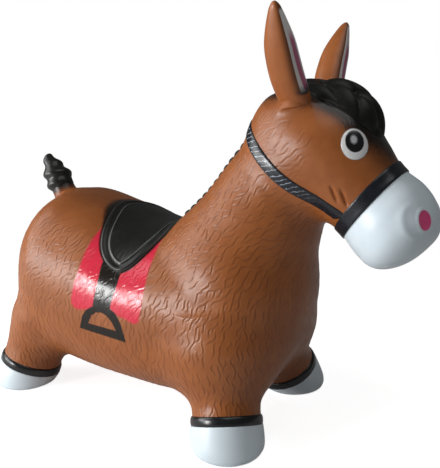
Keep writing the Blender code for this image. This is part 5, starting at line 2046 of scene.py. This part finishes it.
@dataclass
class Ears:
    """Two ears: leaves hollow in front, each growing from a stump on the head."""

    root: EarRoot = field(default_factory=EarRoot)
    length: float = 0.105
    width: float = 0.043
    thickness: float = 0.029
    sunk: float = 0.030
    bend: float = 0.0035
    front_share: float = 0.66
    hollow_share: float = 0.06
    hollow_half_angle_sine: float = 0.42
    tip_cap: float = 0.008
    tip_rings: int = 24
    rows: Rows = (
        (0.00, 0.86, 0.1),
        (0.09, 0.93, 0.4),
        (0.22, 1.00, 0.8),
        (0.40, 1.00, 1.0),
        (0.60, 0.90, 1.0),
        (0.80, 0.60, 0.9),
        (0.92, 0.36, 0.6),
        (1.00, 0.18, 0.3),
    )
    sides: int = 120
    rings: int = 130

    def leaf(self, side: Side) -> Sheet:
        """Shape an ear: an oval bent a little forward, narrowing into the skin's own fillet at its foot.

        The front half of the oval is flattened and dished by the hollow's share, and the bend goes with the
        square of the height.

        Args:
            side: Which ear.

        Returns:
            The ear as a closed sheet.
        """
        foot = self.root.foot(side)
        axis = self.root.axis(side)
        forward, across = square_frame(axis)
        angle = turn_angles(self.sides)
        height = capped_stations(-self.sunk, self.length, self.tip_cap, self.rings, self.tip_rings)
        size, hollow = smooth_rows(self.rows, height / self.length).T
        size = size * rounded((self.length - height) / self.tip_cap)
        size = size * np.sqrt(1 - (np.minimum(height, 0) / (self.sunk + 1e-4)) ** 4)
        front = np.clip(np.cos(angle), 0, 1)
        back = np.clip(np.cos(angle), -1, 0)
        inner = np.exp(-((np.sin(angle) / self.hollow_half_angle_sine) ** 4)) * (front > 0)
        sink = hollow[:, None]
        dished = self.front_share * front**0.7 - self.hollow_share * inner
        x = self.width / 2 * size[:, None] * (back + (1 - sink) * front + sink * dished)
        y = self.thickness / 2 * size[:, None] * np.sin(angle)
        x = x + self.bend * (np.maximum(height, 0) / self.length)[:, None] ** 2
        rings = foot + height[:, None, None] * axis + x[..., None] * forward + y[..., None] * across
        lining = np.where(front > 0, 1 - np.abs(np.sin(angle)), 0.0) * ramp(height[:, None], 0.004, 0.012)
        up_ear = np.broadcast_to((height / self.length)[:, None], lining.shape)
        return loft(rings, {"lining": lining, "up_ear": up_ear})

    def build(self, effects: Effects) -> None:
        """Make both ears.

        Args:
            effects: The shared shader groups.
        """
        material = self.material(effects)
        for side in Side:
            name = side.name.lower()
            foot = self.root.foot(side)
            axis = self.root.axis(side)
            ear = make_object(f"ear_skin_{name}", self.leaf(side))
            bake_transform(ear)
            put_on(ear, material, "", "brown_vinyl", f"ear_{name}")

    @staticmethod
    def material(effects: Effects) -> Material:
        """Dress an ear: brown, darkened towards a pale strip along the front edge by airbrush and by painted
        shade, with mauve inside it.

        Args:
            effects: The shared shader groups.

        Returns:
            The ear's material.
        """
        paint = BROWN.start(effects)
        graph = paint.graph
        lining = graph.value_on("lining")
        height = graph.value_on("up_ear")
        below_tip = graph.span(height, 0.90, 0.94, 1.0, 0.0)
        below_middle = graph.span(height, 0.60, 0.74, 1.0, 0.0)
        at_foot = graph.span(height, 0.06, 0.20, 1.0, 0.0)
        # Dark brown on the front side: partly airbrush, partly painted shade beside the pale strip.
        paint.lay(graph.span(lining, 0.02, 0.28, 0.0, 0.7), DARK_BROWN)
        paint.lay(graph.reckon("MULTIPLY", graph.span(lining, 0.33, 0.38), below_tip), LINING_GREY)
        paint.lay(graph.reckon("MULTIPLY", graph.span(lining, 0.66, 0.72), below_middle), LINING_MAUVE)
        paint.lay(graph.reckon("MULTIPLY", graph.span(lining, 0.05, 0.35), at_foot), INK)
        return paint.finished("ear_vinyl")


# Hair, tail, saddle


@dataclass
class Hair:
    """The forelock's curls and the scalloped mane."""

    shape: BodyShape
    paint: HairPaint = field(default_factory=HairPaint)
    forelock_thickness: float = 0.0150
    forelock_rings: int = 56
    forelock_sides: int = 200
    mane_height: float = 0.0064
    mane_half_width: float = 0.0068
    mane_sunk: float = 0.004
    mane_scallops: int = 15
    mane_from: float = 0.10
    mane_to: float = 1.00

    def forelock(self) -> Sheet:
        """Lay the forelock: a fan of rays from inside the head, stood off by curls.

        The crown is 1 less the square of the ring's share, to the power of four fifths. The curls are rolled
        locks: cosines along and across the patch, sharpened so that the creases between them are narrow.

        Returns:
            The forelock as a closed sheet.
        """
        paint = self.paint
        ring = np.sin(np.linspace(0.02, math.pi / 2, self.forelock_rings))[:, None]
        angle = np.linspace(0, 2 * math.pi, self.forelock_sides, endpoint=False)[None, :]
        along = ring * np.cos(angle)
        aside = ring * np.sin(angle)
        pitch = (paint.back + paint.front) / 2 + (paint.back - paint.front) / 2 * along
        yaw = paint.spread * aside
        way = np.stack((np.cos(pitch) * np.cos(yaw), np.sin(yaw), np.sin(pitch) * np.cos(yaw)), axis=-1)
        origin = np.broadcast_to(HEAD.at(paint.middle), way.shape).reshape(-1, 3)
        points, _ = self.shape.reach(origin, way.reshape(-1, 3), far=0.14, steps=21)
        points = points.reshape(way.shape)
        run = 1.75 * along + 0.9 * np.abs(aside) + 0.22 * np.sin(5 * aside)
        lock = 2 * np.abs(np.cos(math.pi * run)) ** 0.55 - 1
        cross = 2 * np.abs(np.cos(math.pi * (1.6 * aside + 0.45 * along))) ** 0.5 - 1
        curl = 0.6 * lock + 0.4 * cross
        crown = np.clip(1 - ring**2, 0, 1) ** 0.8
        height = self.forelock_thickness * crown * (0.76 + 0.52 * curl - 0.22 * along)
        height = np.where(ring > 0.995, -0.002, height)
        return loft((points + height[..., None] * way)[::-1])

    def mane(self) -> Sheet:
        """Lay the mane: a low ridge on the crest whose height swells and sinks with each scallop.

        Each ring is half an ellipse over a sunk foot. Its height goes with the square root of the scallop's
        sine, so that the notches are sharp.

        Returns:
            The mane as a closed sheet.
        """
        share = np.linspace(self.mane_from, self.mane_to, 26 * self.mane_scallops)
        along = share * NECK.length
        origin = NECK.foot + along[:, None] * NECK.axis
        crest, _ = self.shape.reach(origin, np.broadcast_to(NECK.up, origin.shape), far=0.16, steps=30)
        place = (share - self.mane_from) / (self.mane_to - self.mane_from)
        wave = np.sqrt(np.abs(np.sin(math.pi * self.mane_scallops * place)))
        taper = ramp(place, -0.02, 0.10) * (1 - ramp(place, 0.94, 1.02))
        height = (self.mane_height * (0.42 + 0.58 * wave) * taper)[:, None]
        half = (self.mane_half_width * (0.75 + 0.25 * wave) * (0.35 + 0.65 * taper))[:, None]
        turn = np.linspace(0, math.pi, 17)[None, :]
        aside = (half * np.cos(turn))[..., None] * ACROSS
        top = crest[:, None, :] + aside + (height * np.sin(turn))[..., None] * NECK.up
        both_sides = (half * np.array((-1.0, 1.0)))[..., None] * ACROSS
        low = crest[:, None, :] - self.mane_sunk * NECK.up + both_sides
        return loft(np.concatenate((top, low), axis=1))

    def build(self, effects: Effects) -> None:
        """Make and dress the forelock and the mane.

        Args:
            effects: The shared shader groups.
        """
        material = HAIR_BLACK.plain(effects)
        put_on(make_object("forelock_curls", self.forelock()), material, "body", "black_vinyl", "forelock")
        put_on(make_object("mane_scallops", self.mane()), material, "body", "black_vinyl", "mane")


@dataclass
class Tail:
    """The brown dock, and the black lock with a lump that winds up it."""

    root: DockRoot = field(default_factory=DockRoot)
    dock_radius: float = 0.0300
    dock_sunk: float = 0.010
    dock_length: float = 0.024
    dock_top: float = 0.0168
    dock_overlap: float = 0.004
    length: float = 0.056
    radius: float = 0.0205
    rows: Rows = (
        (0.00, 0.84),
        (0.15, 0.96),
        (0.40, 0.90),
        (0.60, 0.74),
        (0.78, 0.50),
        (0.90, 0.42),
        (1.00, 0.40),
    )
    tip_cap: float = 0.012
    turns: float = -2.7
    lobe: float = 0.085
    sway: float = 0.0008
    sides: int = 120

    def dock(self) -> Sheet:
        """Turn the dock about the tail's axis: its radius falls from the rump with a concave curve.

        Returns:
            The dock as a closed sheet.
        """
        height = np.linspace(-self.dock_sunk, self.dock_length + self.dock_overlap, 48)
        share = np.clip((height + self.dock_sunk) / (self.dock_length + self.dock_sunk), 0, 1)
        radius = self.dock_radius + (self.dock_top - self.dock_radius) * (1 - (1 - share) ** 2.2)
        around = ways_round(self.root.axis, self.sides)
        rings = self.root.foot + height[:, None, None] * self.root.axis + radius[:, None, None] * around
        up_dock = np.broadcast_to((height / self.dock_length)[:, None], rings.shape[:2])
        return loft(rings, {"up_dock": up_dock})

    def lock(self) -> Sheet:
        """Twist the lock.

        Its radius is the table's, times 1 plus the lobe's share times the cosine of the angle less the twist.
        Its middle sways a little with the twist.

        Returns:
            The lock as a closed sheet.
        """
        axis = self.root.axis
        first, _ = square_frame(axis)
        along = capped_stations(0.0, self.length, self.tip_cap, 110, 30)
        close = rounded((self.length - along) / self.tip_cap)
        size = smooth_rows(self.rows, along / self.length)[:, 0] * close * self.radius
        turn = self.turns * 2 * math.pi * along / self.length
        wave = np.cos(turn_angles(self.sides)[None, :] - turn[:, None])
        lobe = 1 + self.lobe * wave * np.clip(along / self.dock_top + 0.25, 0, 1)[:, None]
        sway = (self.sway * np.sin(turn)[:, None] * first)[:, None, :]
        base = self.root.foot + (self.dock_length + 0.0003) * axis
        around = (size[:, None] * lobe)[..., None] * ways_round(axis, self.sides)
        return loft(base + along[:, None, None] * axis + around + sway)

    def build(self, effects: Effects) -> None:
        """Make and dress the dock and the lock.

        Args:
            effects: The shared shader groups.
        """
        foot = self.root.foot
        axis = self.root.axis
        dock = make_object("dock_skin", self.dock())
        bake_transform(dock)
        put_on(dock, self.dock_material(effects), "", "brown_vinyl", "tail_dock")
        lock = make_object("tail_lock", self.lock())
        put_on(lock, SADDLE_BLACK.plain(effects), "tail", "black_vinyl", "tail")

    @staticmethod
    def dock_material(effects: Effects) -> Material:
        """Dress the dock: brown at its foot, sprayed black towards the lock.

        Args:
            effects: The shared shader groups.

        Returns:
            The dock's material.
        """
        paint = BROWN.start(effects)
        paint.lay(paint.graph.span(paint.graph.value_on("up_dock"), 0.35, 1.0), INK)
        return paint.finished("dock_vinyl")


@dataclass
class Saddle:
    """The raised saddle: a rolled rim, a furrow inside it, piping and a seat with strokes of coat."""

    shape: BodyShape
    coat: Coat = field(default_factory=lambda: Coat(seed=23, groove_depth=0.00022, groove_width=0.0009))
    paint: FlankPaint = field(default_factory=FlankPaint)
    rings: int = 76
    sides: int = 380
    rim_width: float = 0.0100
    rim_height: float = 0.0034
    seat_height: float = 0.0026
    furrow: float = 0.0009
    furrow_width: float = 0.0014
    piping_in: float = 0.0124
    piping_height: float = 0.0008
    piping_width: float = 0.0010
    edge_sunk: float = 0.0015
    strokes_in: float = 0.018
    strokes_out: Pair = (0.03, 0.07)

    def outline(self) -> Array:
        """Trace the outline, unrolled, with its points evenly spaced along it.

        Returns:
            Rows of (x, distance round the back).
        """
        outline = self.paint.saddle_outline(self.sides // 2 + 1)
        steps = np.linalg.norm(np.diff(outline, axis=0, append=outline[:1]), axis=1)
        run = np.concatenate(((0.0,), np.cumsum(steps)))
        even = np.linspace(0, run[-1], self.sides, endpoint=False)
        closed = np.vstack((outline, outline[:1]))
        return np.stack([np.interp(even, run, closed[:, k]) for k in range(2)], axis=1)

    def relief(self, inside: Array) -> Array:
        """Work out the height: a half round for the rim, a furrow, a thin bead of piping and a level seat.

        Args:
            inside: Distances inside the edge.

        Returns:
            One height for each point.
        """
        share = np.clip(inside / self.rim_width, 0, 1)
        roll = np.clip(1 - (1 - 3.2 * share).clip(0) ** 2, 0, 1) ** 0.5
        rim = self.rim_height * roll * (1 - 0.9 * ramp(share, 0.45, 1.0))
        seat = self.seat_height * ramp(inside, self.rim_width * 0.3, self.rim_width)
        piping = self.piping_height * bell(inside, self.piping_in, self.piping_width)
        return np.maximum(rim, seat) + piping - self.furrow * bell(inside, self.rim_width, self.furrow_width)

    def build(self, effects: Effects) -> None:
        """Make the saddle: rings shrunk from its outline, laid on the back and raised by the relief.

        Args:
            effects: The shared shader groups.
        """
        outline = self.outline()
        middle = np.array(self.paint.saddle_middle)
        ring = 1 - np.linspace(0, 1, self.rings) ** 1.35
        flat = middle + (ring[:, None, None] * 0.995 + 0.005) * (outline - middle)
        x, roll = flat[..., 0].ravel(), flat[..., 1].ravel()
        inside = -polygon_distance(x, roll, outline)
        angle = roll / self.paint.radius
        origin = np.stack((x, np.zeros_like(x), np.full_like(x, TORSO.start[1])), axis=1)
        way = np.stack((np.zeros_like(x), np.sin(angle), np.cos(angle)), axis=1)
        points, normals = self.shape.reach(origin, way, far=0.16, steps=24)
        on_seat = ramp(np.abs(roll), *self.strokes_out) * (inside > self.strokes_in)
        engraved, _ = self.coat.relief(points, normals, self.coat.seeds(points, normals, on_seat))
        height = self.relief(inside) + engraved
        height[: self.sides] = -self.edge_sunk
        rings = (points + height[:, None] * normals).reshape(self.rings, self.sides, 3)
        values = {"inside": inside.reshape(self.rings, self.sides)}
        piece = make_object("saddle_seat", loft(rings, values))
        put_on(piece, self.material(effects), "body", "black_vinyl", "saddle")

    def material(self, effects: Effects) -> Material:
        """Dress the saddle: greenish black, with painted highlights as pale lines at its very edge and on the
        piping.

        Args:
            effects: The shared shader groups.

        Returns:
            The saddle's material.
        """
        paint = SADDLE_BLACK.start(effects)
        graph = paint.graph
        inside = graph.value_on("inside")
        off_line = graph.reckon("ABSOLUTE", graph.reckon("SUBTRACT", inside, self.piping_in))
        line = graph.span(off_line, 0.0003, 0.0010, 0.9, 0.0)
        # Painted highlight: pale lines on the piping and at the saddle's edge.
        paint.lay(graph.reckon("MAXIMUM", line, graph.span(inside, 0.0003, 0.0012, 0.6, 0.0)), RIDGE_HIGHLIGHT)
        return paint.finished()


# Feet and valve


@dataclass
class Feet:
    """Four rolled cuffs and four hooves with flat soles."""

    stance: Stance = field(default_factory=Stance)
    sides: int = 128
    roll: float = 0.0036
    tuck: float = 0.0015
    wall: Rows = (
        (0.00, 0.000),
        (0.25, -0.025),
        (0.50, -0.040),
        (0.72, -0.030),
        (0.88, 0.025),
        (0.97, 0.110),
        (1.00, 0.200),
    )

    def circle(self, centre: Array, axis: Array, radius: Array) -> Array:
        """Lay rings about an axis: one for each centre and radius."""
        return centre[:, None, :] + radius[:, None, None] * ways_round(axis, self.sides)

    def cuff(self, centre: Array, axis: Array) -> Sheet:
        """Turn a cuff: one smooth roll, whose outline is half a superellipse.

        Args:
            centre: The cuff's middle.
            axis: Its axis, pointing up the leg.

        Returns:
            The cuff's sheet.
        """
        half = self.stance.cuff_width / 2
        radius = self.stance.cuff_radius
        turn = np.linspace(-math.pi / 2, math.pi / 2, 28)
        up = half * signed_power(np.sin(turn), 0.8)
        outer = np.stack((up, radius - self.roll + self.roll * np.cos(turn) ** 0.8), axis=1)
        inner = np.array(((half, radius - 2 * self.roll), (-half, radius - 2 * self.roll)))
        profile = np.vstack((outer, inner))
        return loft(self.circle(centre + profile[:, :1] * axis, axis, profile[:, 1]), looped=True)

    def hoof(self, centre: Array, axis: Array) -> Sheet:
        """Shape a hoof: the sides run from the cuff's rim to the sole, bulge, and round in at the bottom.

        Args:
            centre: The cuff's middle.
            axis: Its axis, pointing up the leg.

        Returns:
            The hoof's sheet.
        """
        top_centre = centre - (self.stance.cuff_width / 2 - self.tuck) * axis
        sole_centre = top_centre - axis * top_centre[2] / axis[2]
        radius = self.stance.cuff_radius
        down = 1 - (1 - np.linspace(0, 1, 60)) ** 1.4
        inset = smooth_rows(self.wall, down)[:, 0][:, None]
        top = self.circle(top_centre[None, :], axis, np.array((radius,)))[0]
        sole = self.circle(sole_centre[None, :], UPRIGHT, np.array((radius,)))[0]
        height = (top[:, 2] / top[:, 2].max())[None, :]
        bulge = np.where(inset > 0, inset, inset * height)
        outward = (sole - sole_centre)[None, :, :]
        share = down[:, None, None]
        rings = (1 - share) * top + share * sole - outward * bulge[..., None]
        return loft(rings)

    def build(self, effects: Effects) -> None:
        """Make and dress all four feet.

        Args:
            effects: The shared shader groups.
        """
        black = BLACK.plain(effects)
        white = self.hoof_material(effects)
        for end in End:
            for side in Side:
                place = f"{end.name.lower()}_{side.name.lower()}"
                centre = self.stance.cuff(end, side)
                axis = self.stance.axis(end, side)
                cuff = make_object(f"cuff_{place}", self.cuff(centre, axis))
                put_on(cuff, black, "legs", "black_vinyl", f"hoof_band_{place}")
                hoof = make_object(f"hoof_skin_{place}", self.hoof(centre, axis))
                put_on(hoof, white, "legs", "white_vinyl", f"hoof_{place}")

    @staticmethod
    def hoof_material(effects: Effects) -> Material:
        """Dress a hoof: bluish white, a little greyer close to the floor.

        Args:
            effects: The shared shader groups.

        Returns:
            The hoof's material.
        """
        paint = WHITE.start(effects)
        graph = paint.graph
        height = graph.node("ShaderNodeSeparateXYZ", {0: graph.place()}).outputs[2]
        # Greyer in patches towards the sole.
        near_floor = graph.span(height, 0.0, 0.008, 0.30, 0.0)
        paint.lay(graph.reckon("MULTIPLY", near_floor, graph.call(effects.mottle, size=90.0)), SOLE_GREY)
        return paint.finished("hoof_vinyl")


@dataclass
class Valve:
    """The valve in the back of the rump: a flanged seat and the plug pushed into it."""

    flange_radius: float = 0.0140
    flange: float = 0.0014
    seat_radius: float = 0.0105
    bore: float = 0.0045
    bore_depth: float = 0.0165
    seat_depth: float = 0.0180
    head_radius: float = 0.0095
    head: float = 0.0022
    shank: float = 0.0140
    rounding: float = 0.0005
    play: float = 0.0003
    sides: int = 96

    def turned(self, profile: Rows) -> Sheet:
        """Turn a profile of (distance into the rump, radius) about the valve's axis.

        Args:
            profile: Its rows, from one end to the other.

        Returns:
            The turned sheet.
        """
        rows = np.array(profile)
        angle = turn_angles(self.sides)
        face = TORSO.foot - self.flange * FORWARD
        rings = np.empty((len(rows), self.sides, 3))
        rings[..., 0] = face[0] + rows[:, :1]
        rings[..., 1] = face[1] + rows[:, 1:] * np.cos(angle)
        rings[..., 2] = face[2] + rows[:, 1:] * np.sin(angle)
        return loft(rings)

    def build(self, effects: Effects) -> None:
        """Make and dress the seat and the plug, with rounded rims.

        Args:
            effects: The shared shader groups.
        """
        edge = self.rounding
        shank_radius = self.bore - self.play
        seat = (
            (self.bore_depth, self.bore),
            (edge, self.bore),
            (0.0, self.bore + edge),
            (0.0, self.flange_radius - edge),
            (edge, self.flange_radius),
            (self.flange, self.flange_radius),
            (self.flange, self.seat_radius),
            (self.flange + self.seat_depth, self.seat_radius),
        )
        plug = (
            (-self.head - self.play, self.head_radius - 2 * edge),
            (-self.head + 0.0001, self.head_radius - edge),
            (-self.head + edge, self.head_radius),
            (-self.play - edge, self.head_radius),
            (-self.play, self.head_radius - edge),
            (-self.play, shank_radius),
            (self.shank, shank_radius * 0.85),
        )
        material = VALVE_GREY.plain(effects)
        put_on(make_object("valve_ring", self.turned(seat)), material, "body", "valve_plastic", "valve_seat")
        stopper = make_object("valve_stopper", self.turned(plug))
        put_on(stopper, material, "valve_plug", "valve_plastic", "valve_plug")


# Studio


@dataclass(frozen=True)
class Lamp:
    """A soft rectangular lamp that faces the toy."""

    name: str
    place: Point
    aim: Point
    size: Pair
    power: float

    def hang(self) -> None:
        """Put the lamp in the scene."""
        data = bpy.data.lights.new(self.name, "AREA")
        data.shape = "RECTANGLE"
        data.size, data.size_y = self.size
        data.energy = self.power
        lamp = bpy.data.objects.new(self.name, data)
        bpy.context.collection.objects.link(lamp)
        back = unit(np.array(self.place) - np.array(self.aim))
        right = unit(np.cross(UPRIGHT, back))
        lamp.matrix_world = placed(right, np.cross(back, right), back, np.array(self.place))


def placed(right: Array, up: Array, back: Array, place: Array) -> Matrix:
    """Build the matrix of a camera or lamp from its three directions and its place.

    Args:
        right: The direction to its right.
        up: The direction upwards.
        back: The direction against the way it looks.
        place: Where it stands.

    Returns:
        Its matrix in the world.
    """
    matrix = np.eye(4)
    matrix[:3, :3] = np.stack((right, up, back), axis=1)
    matrix[:3, 3] = place
    return Matrix(matrix.tolist())


@dataclass
class Studio:
    """A white floor and surroundings, soft lamps and the photograph's camera."""

    place: Point = (0.49349, -0.64294, 0.40966)
    heading: float = math.radians(30.924)
    dip: float = math.radians(13.111)
    roll: float = math.radians(-0.335)
    lens: float = 45.48
    lamps: tuple[Lamp, ...] = (
        Lamp("key", (-1.60, -0.70, 1.15), (0.0, 0.0, 0.18), (1.3, 1.3), 14.0),
        Lamp("window", (-1.05, -1.80, 0.46), (0.0, -0.05, 0.18), (0.40, 0.46), 15.5),
        Lamp("side_window", (-1.48, -1.32, 0.42), (0.0, 0.0, 0.18), (1.5, 0.60), 18.0),
        Lamp("overhead", (0.55, -0.25, 1.75), (0.05, 0.0, 0.2), (1.6, 1.2), 7.5),
    )

    def set_up(self) -> None:
        """Put camera, lamps, floor and surroundings in the scene."""
        level = np.array((math.cos(self.heading), math.sin(self.heading), 0.0))
        ahead = math.cos(self.dip) * np.cross(UPRIGHT, level) - math.sin(self.dip) * UPRIGHT
        top = np.cross(level, ahead)
        right = math.cos(self.roll) * level + math.sin(self.roll) * top
        up = -math.sin(self.roll) * level + math.cos(self.roll) * top
        data = bpy.data.cameras.new("photo_camera")
        data.lens = self.lens
        data.sensor_width = 36.0
        data.clip_start = 0.01
        camera = bpy.data.objects.new("photo_camera", data)
        bpy.context.collection.objects.link(camera)
        camera.matrix_world = placed(right, up, -ahead, np.array(row_point(self.place)))
        bpy.context.scene.camera = camera
        for lamp in self.lamps:
            lamp.hang()
        bpy.context.scene.view_settings.view_transform = "Standard"
        self.floor()
        self.surroundings()

    @staticmethod
    def seen(graph: Graph, mirrored: float) -> Socket:
        """Work out the share of what the camera sees directly, and of a part of what gloss mirrors.

        Args:
            graph: The world's or the floor's graph.
            mirrored: The part that gloss mirrors.

        Returns:
            The share.
        """
        path = graph.node("ShaderNodeLightPath").outputs
        glossy = graph.reckon("MULTIPLY", path["Is Glossy Ray"], mirrored)
        return graph.reckon("MAXIMUM", path["Is Camera Ray"], glossy)

    def floor(self) -> None:
        """Lay a white floor that keeps the toy's shadow and brightens to plain white away from it."""
        radius = np.array((12.0, 3.0, 1.0, 0.4))
        sheet = loft(radius[:, None, None] * ways_round(UPRIGHT, 96))
        sheet.faces = [sheet.faces[0], sheet.faces[2]]
        floor = make_object("studio_floor", sheet)
        material = bpy.data.materials.new("studio_floor")
        material.use_nodes = True
        graph = Graph(material.node_tree)
        shader = material.node_tree.nodes["Principled BSDF"]
        shader.inputs["Base Color"].default_value = (0.74, 0.74, 0.74, 1)
        shader.inputs["Roughness"].default_value = 0.9
        shader.inputs["Specular IOR Level"].default_value = 0.1
        away = graph.node("ShaderNodeVectorMath", {0: graph.place()}, operation="LENGTH").outputs["Value"]
        glow = graph.node("ShaderNodeEmission", {"Color": (1, 1, 1, 1), "Strength": 1.0}).outputs[0]
        lift = graph.node("ShaderNodeEmission", {"Color": (1, 1, 1, 1), "Strength": 0.86}).outputs[0]
        near = graph.node("ShaderNodeAddShader", {0: shader.outputs[0], 1: lift}).outputs[0]
        shown = graph.mixed(graph.span(away, 0.45, 1.0), near, glow)
        mix = graph.mixed(self.seen(graph, 0.12), shader.outputs[0], shown)
        graph.tree.links.new(mix, material.node_tree.nodes["Material Output"].inputs["Surface"])
        floor.data.materials.append(material)

    def surroundings(self) -> None:
        """Surround the toy with soft grey light that shows as white."""
        world = bpy.data.worlds.new("studio")
        bpy.context.scene.world = world
        world.use_nodes = True
        graph = Graph(world.node_tree)
        light = world.node_tree.nodes["Background"]
        light.inputs[0].default_value = (1.0, 0.98, 0.96, 1)
        light.inputs[1].default_value = 0.035
        white = graph.node("ShaderNodeBackground", {0: (1, 1, 1, 1), 1: 1.0}).outputs[0]
        mix = graph.mixed(self.seen(graph, 0.05), light.outputs[0], white)
        graph.tree.links.new(mix, world.node_tree.nodes["World Output"].inputs["Surface"])


def put_on_skin(skin: Piece, effects: Effects) -> None:
    """Args:
        skin: The skin's object.
        effects: The shared shader groups.
    """
    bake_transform(skin)
    places = [f"leg_{end.name.lower()}_{side.name.lower()}" for end in End for side in Side]
    put_on(skin, skin_material(effects), "", "brown_vinyl", "torso", "neck", "head", *places)


def main() -> None:
    """Build the studio and every piece."""
    logging.basicConfig(level=logging.INFO, format="%(name)s: %(message)s", force=True)
    Studio().set_up()
    effects = Effects()
    shape = BodyShape()
    put_on_skin(Skin(BodyShape(whole_head=False)).build(), effects)
    Muzzle().build(effects)
    Bridle(shape).build(effects)
    Eyes(shape).build(effects)
    Ears().build(effects)
    Hair(shape).build(effects)
    Tail().build(effects)
    Saddle(shape).build(effects)
    Feet().build(effects)
    Valve().build(effects)


if __name__ == "__main__":
    main()
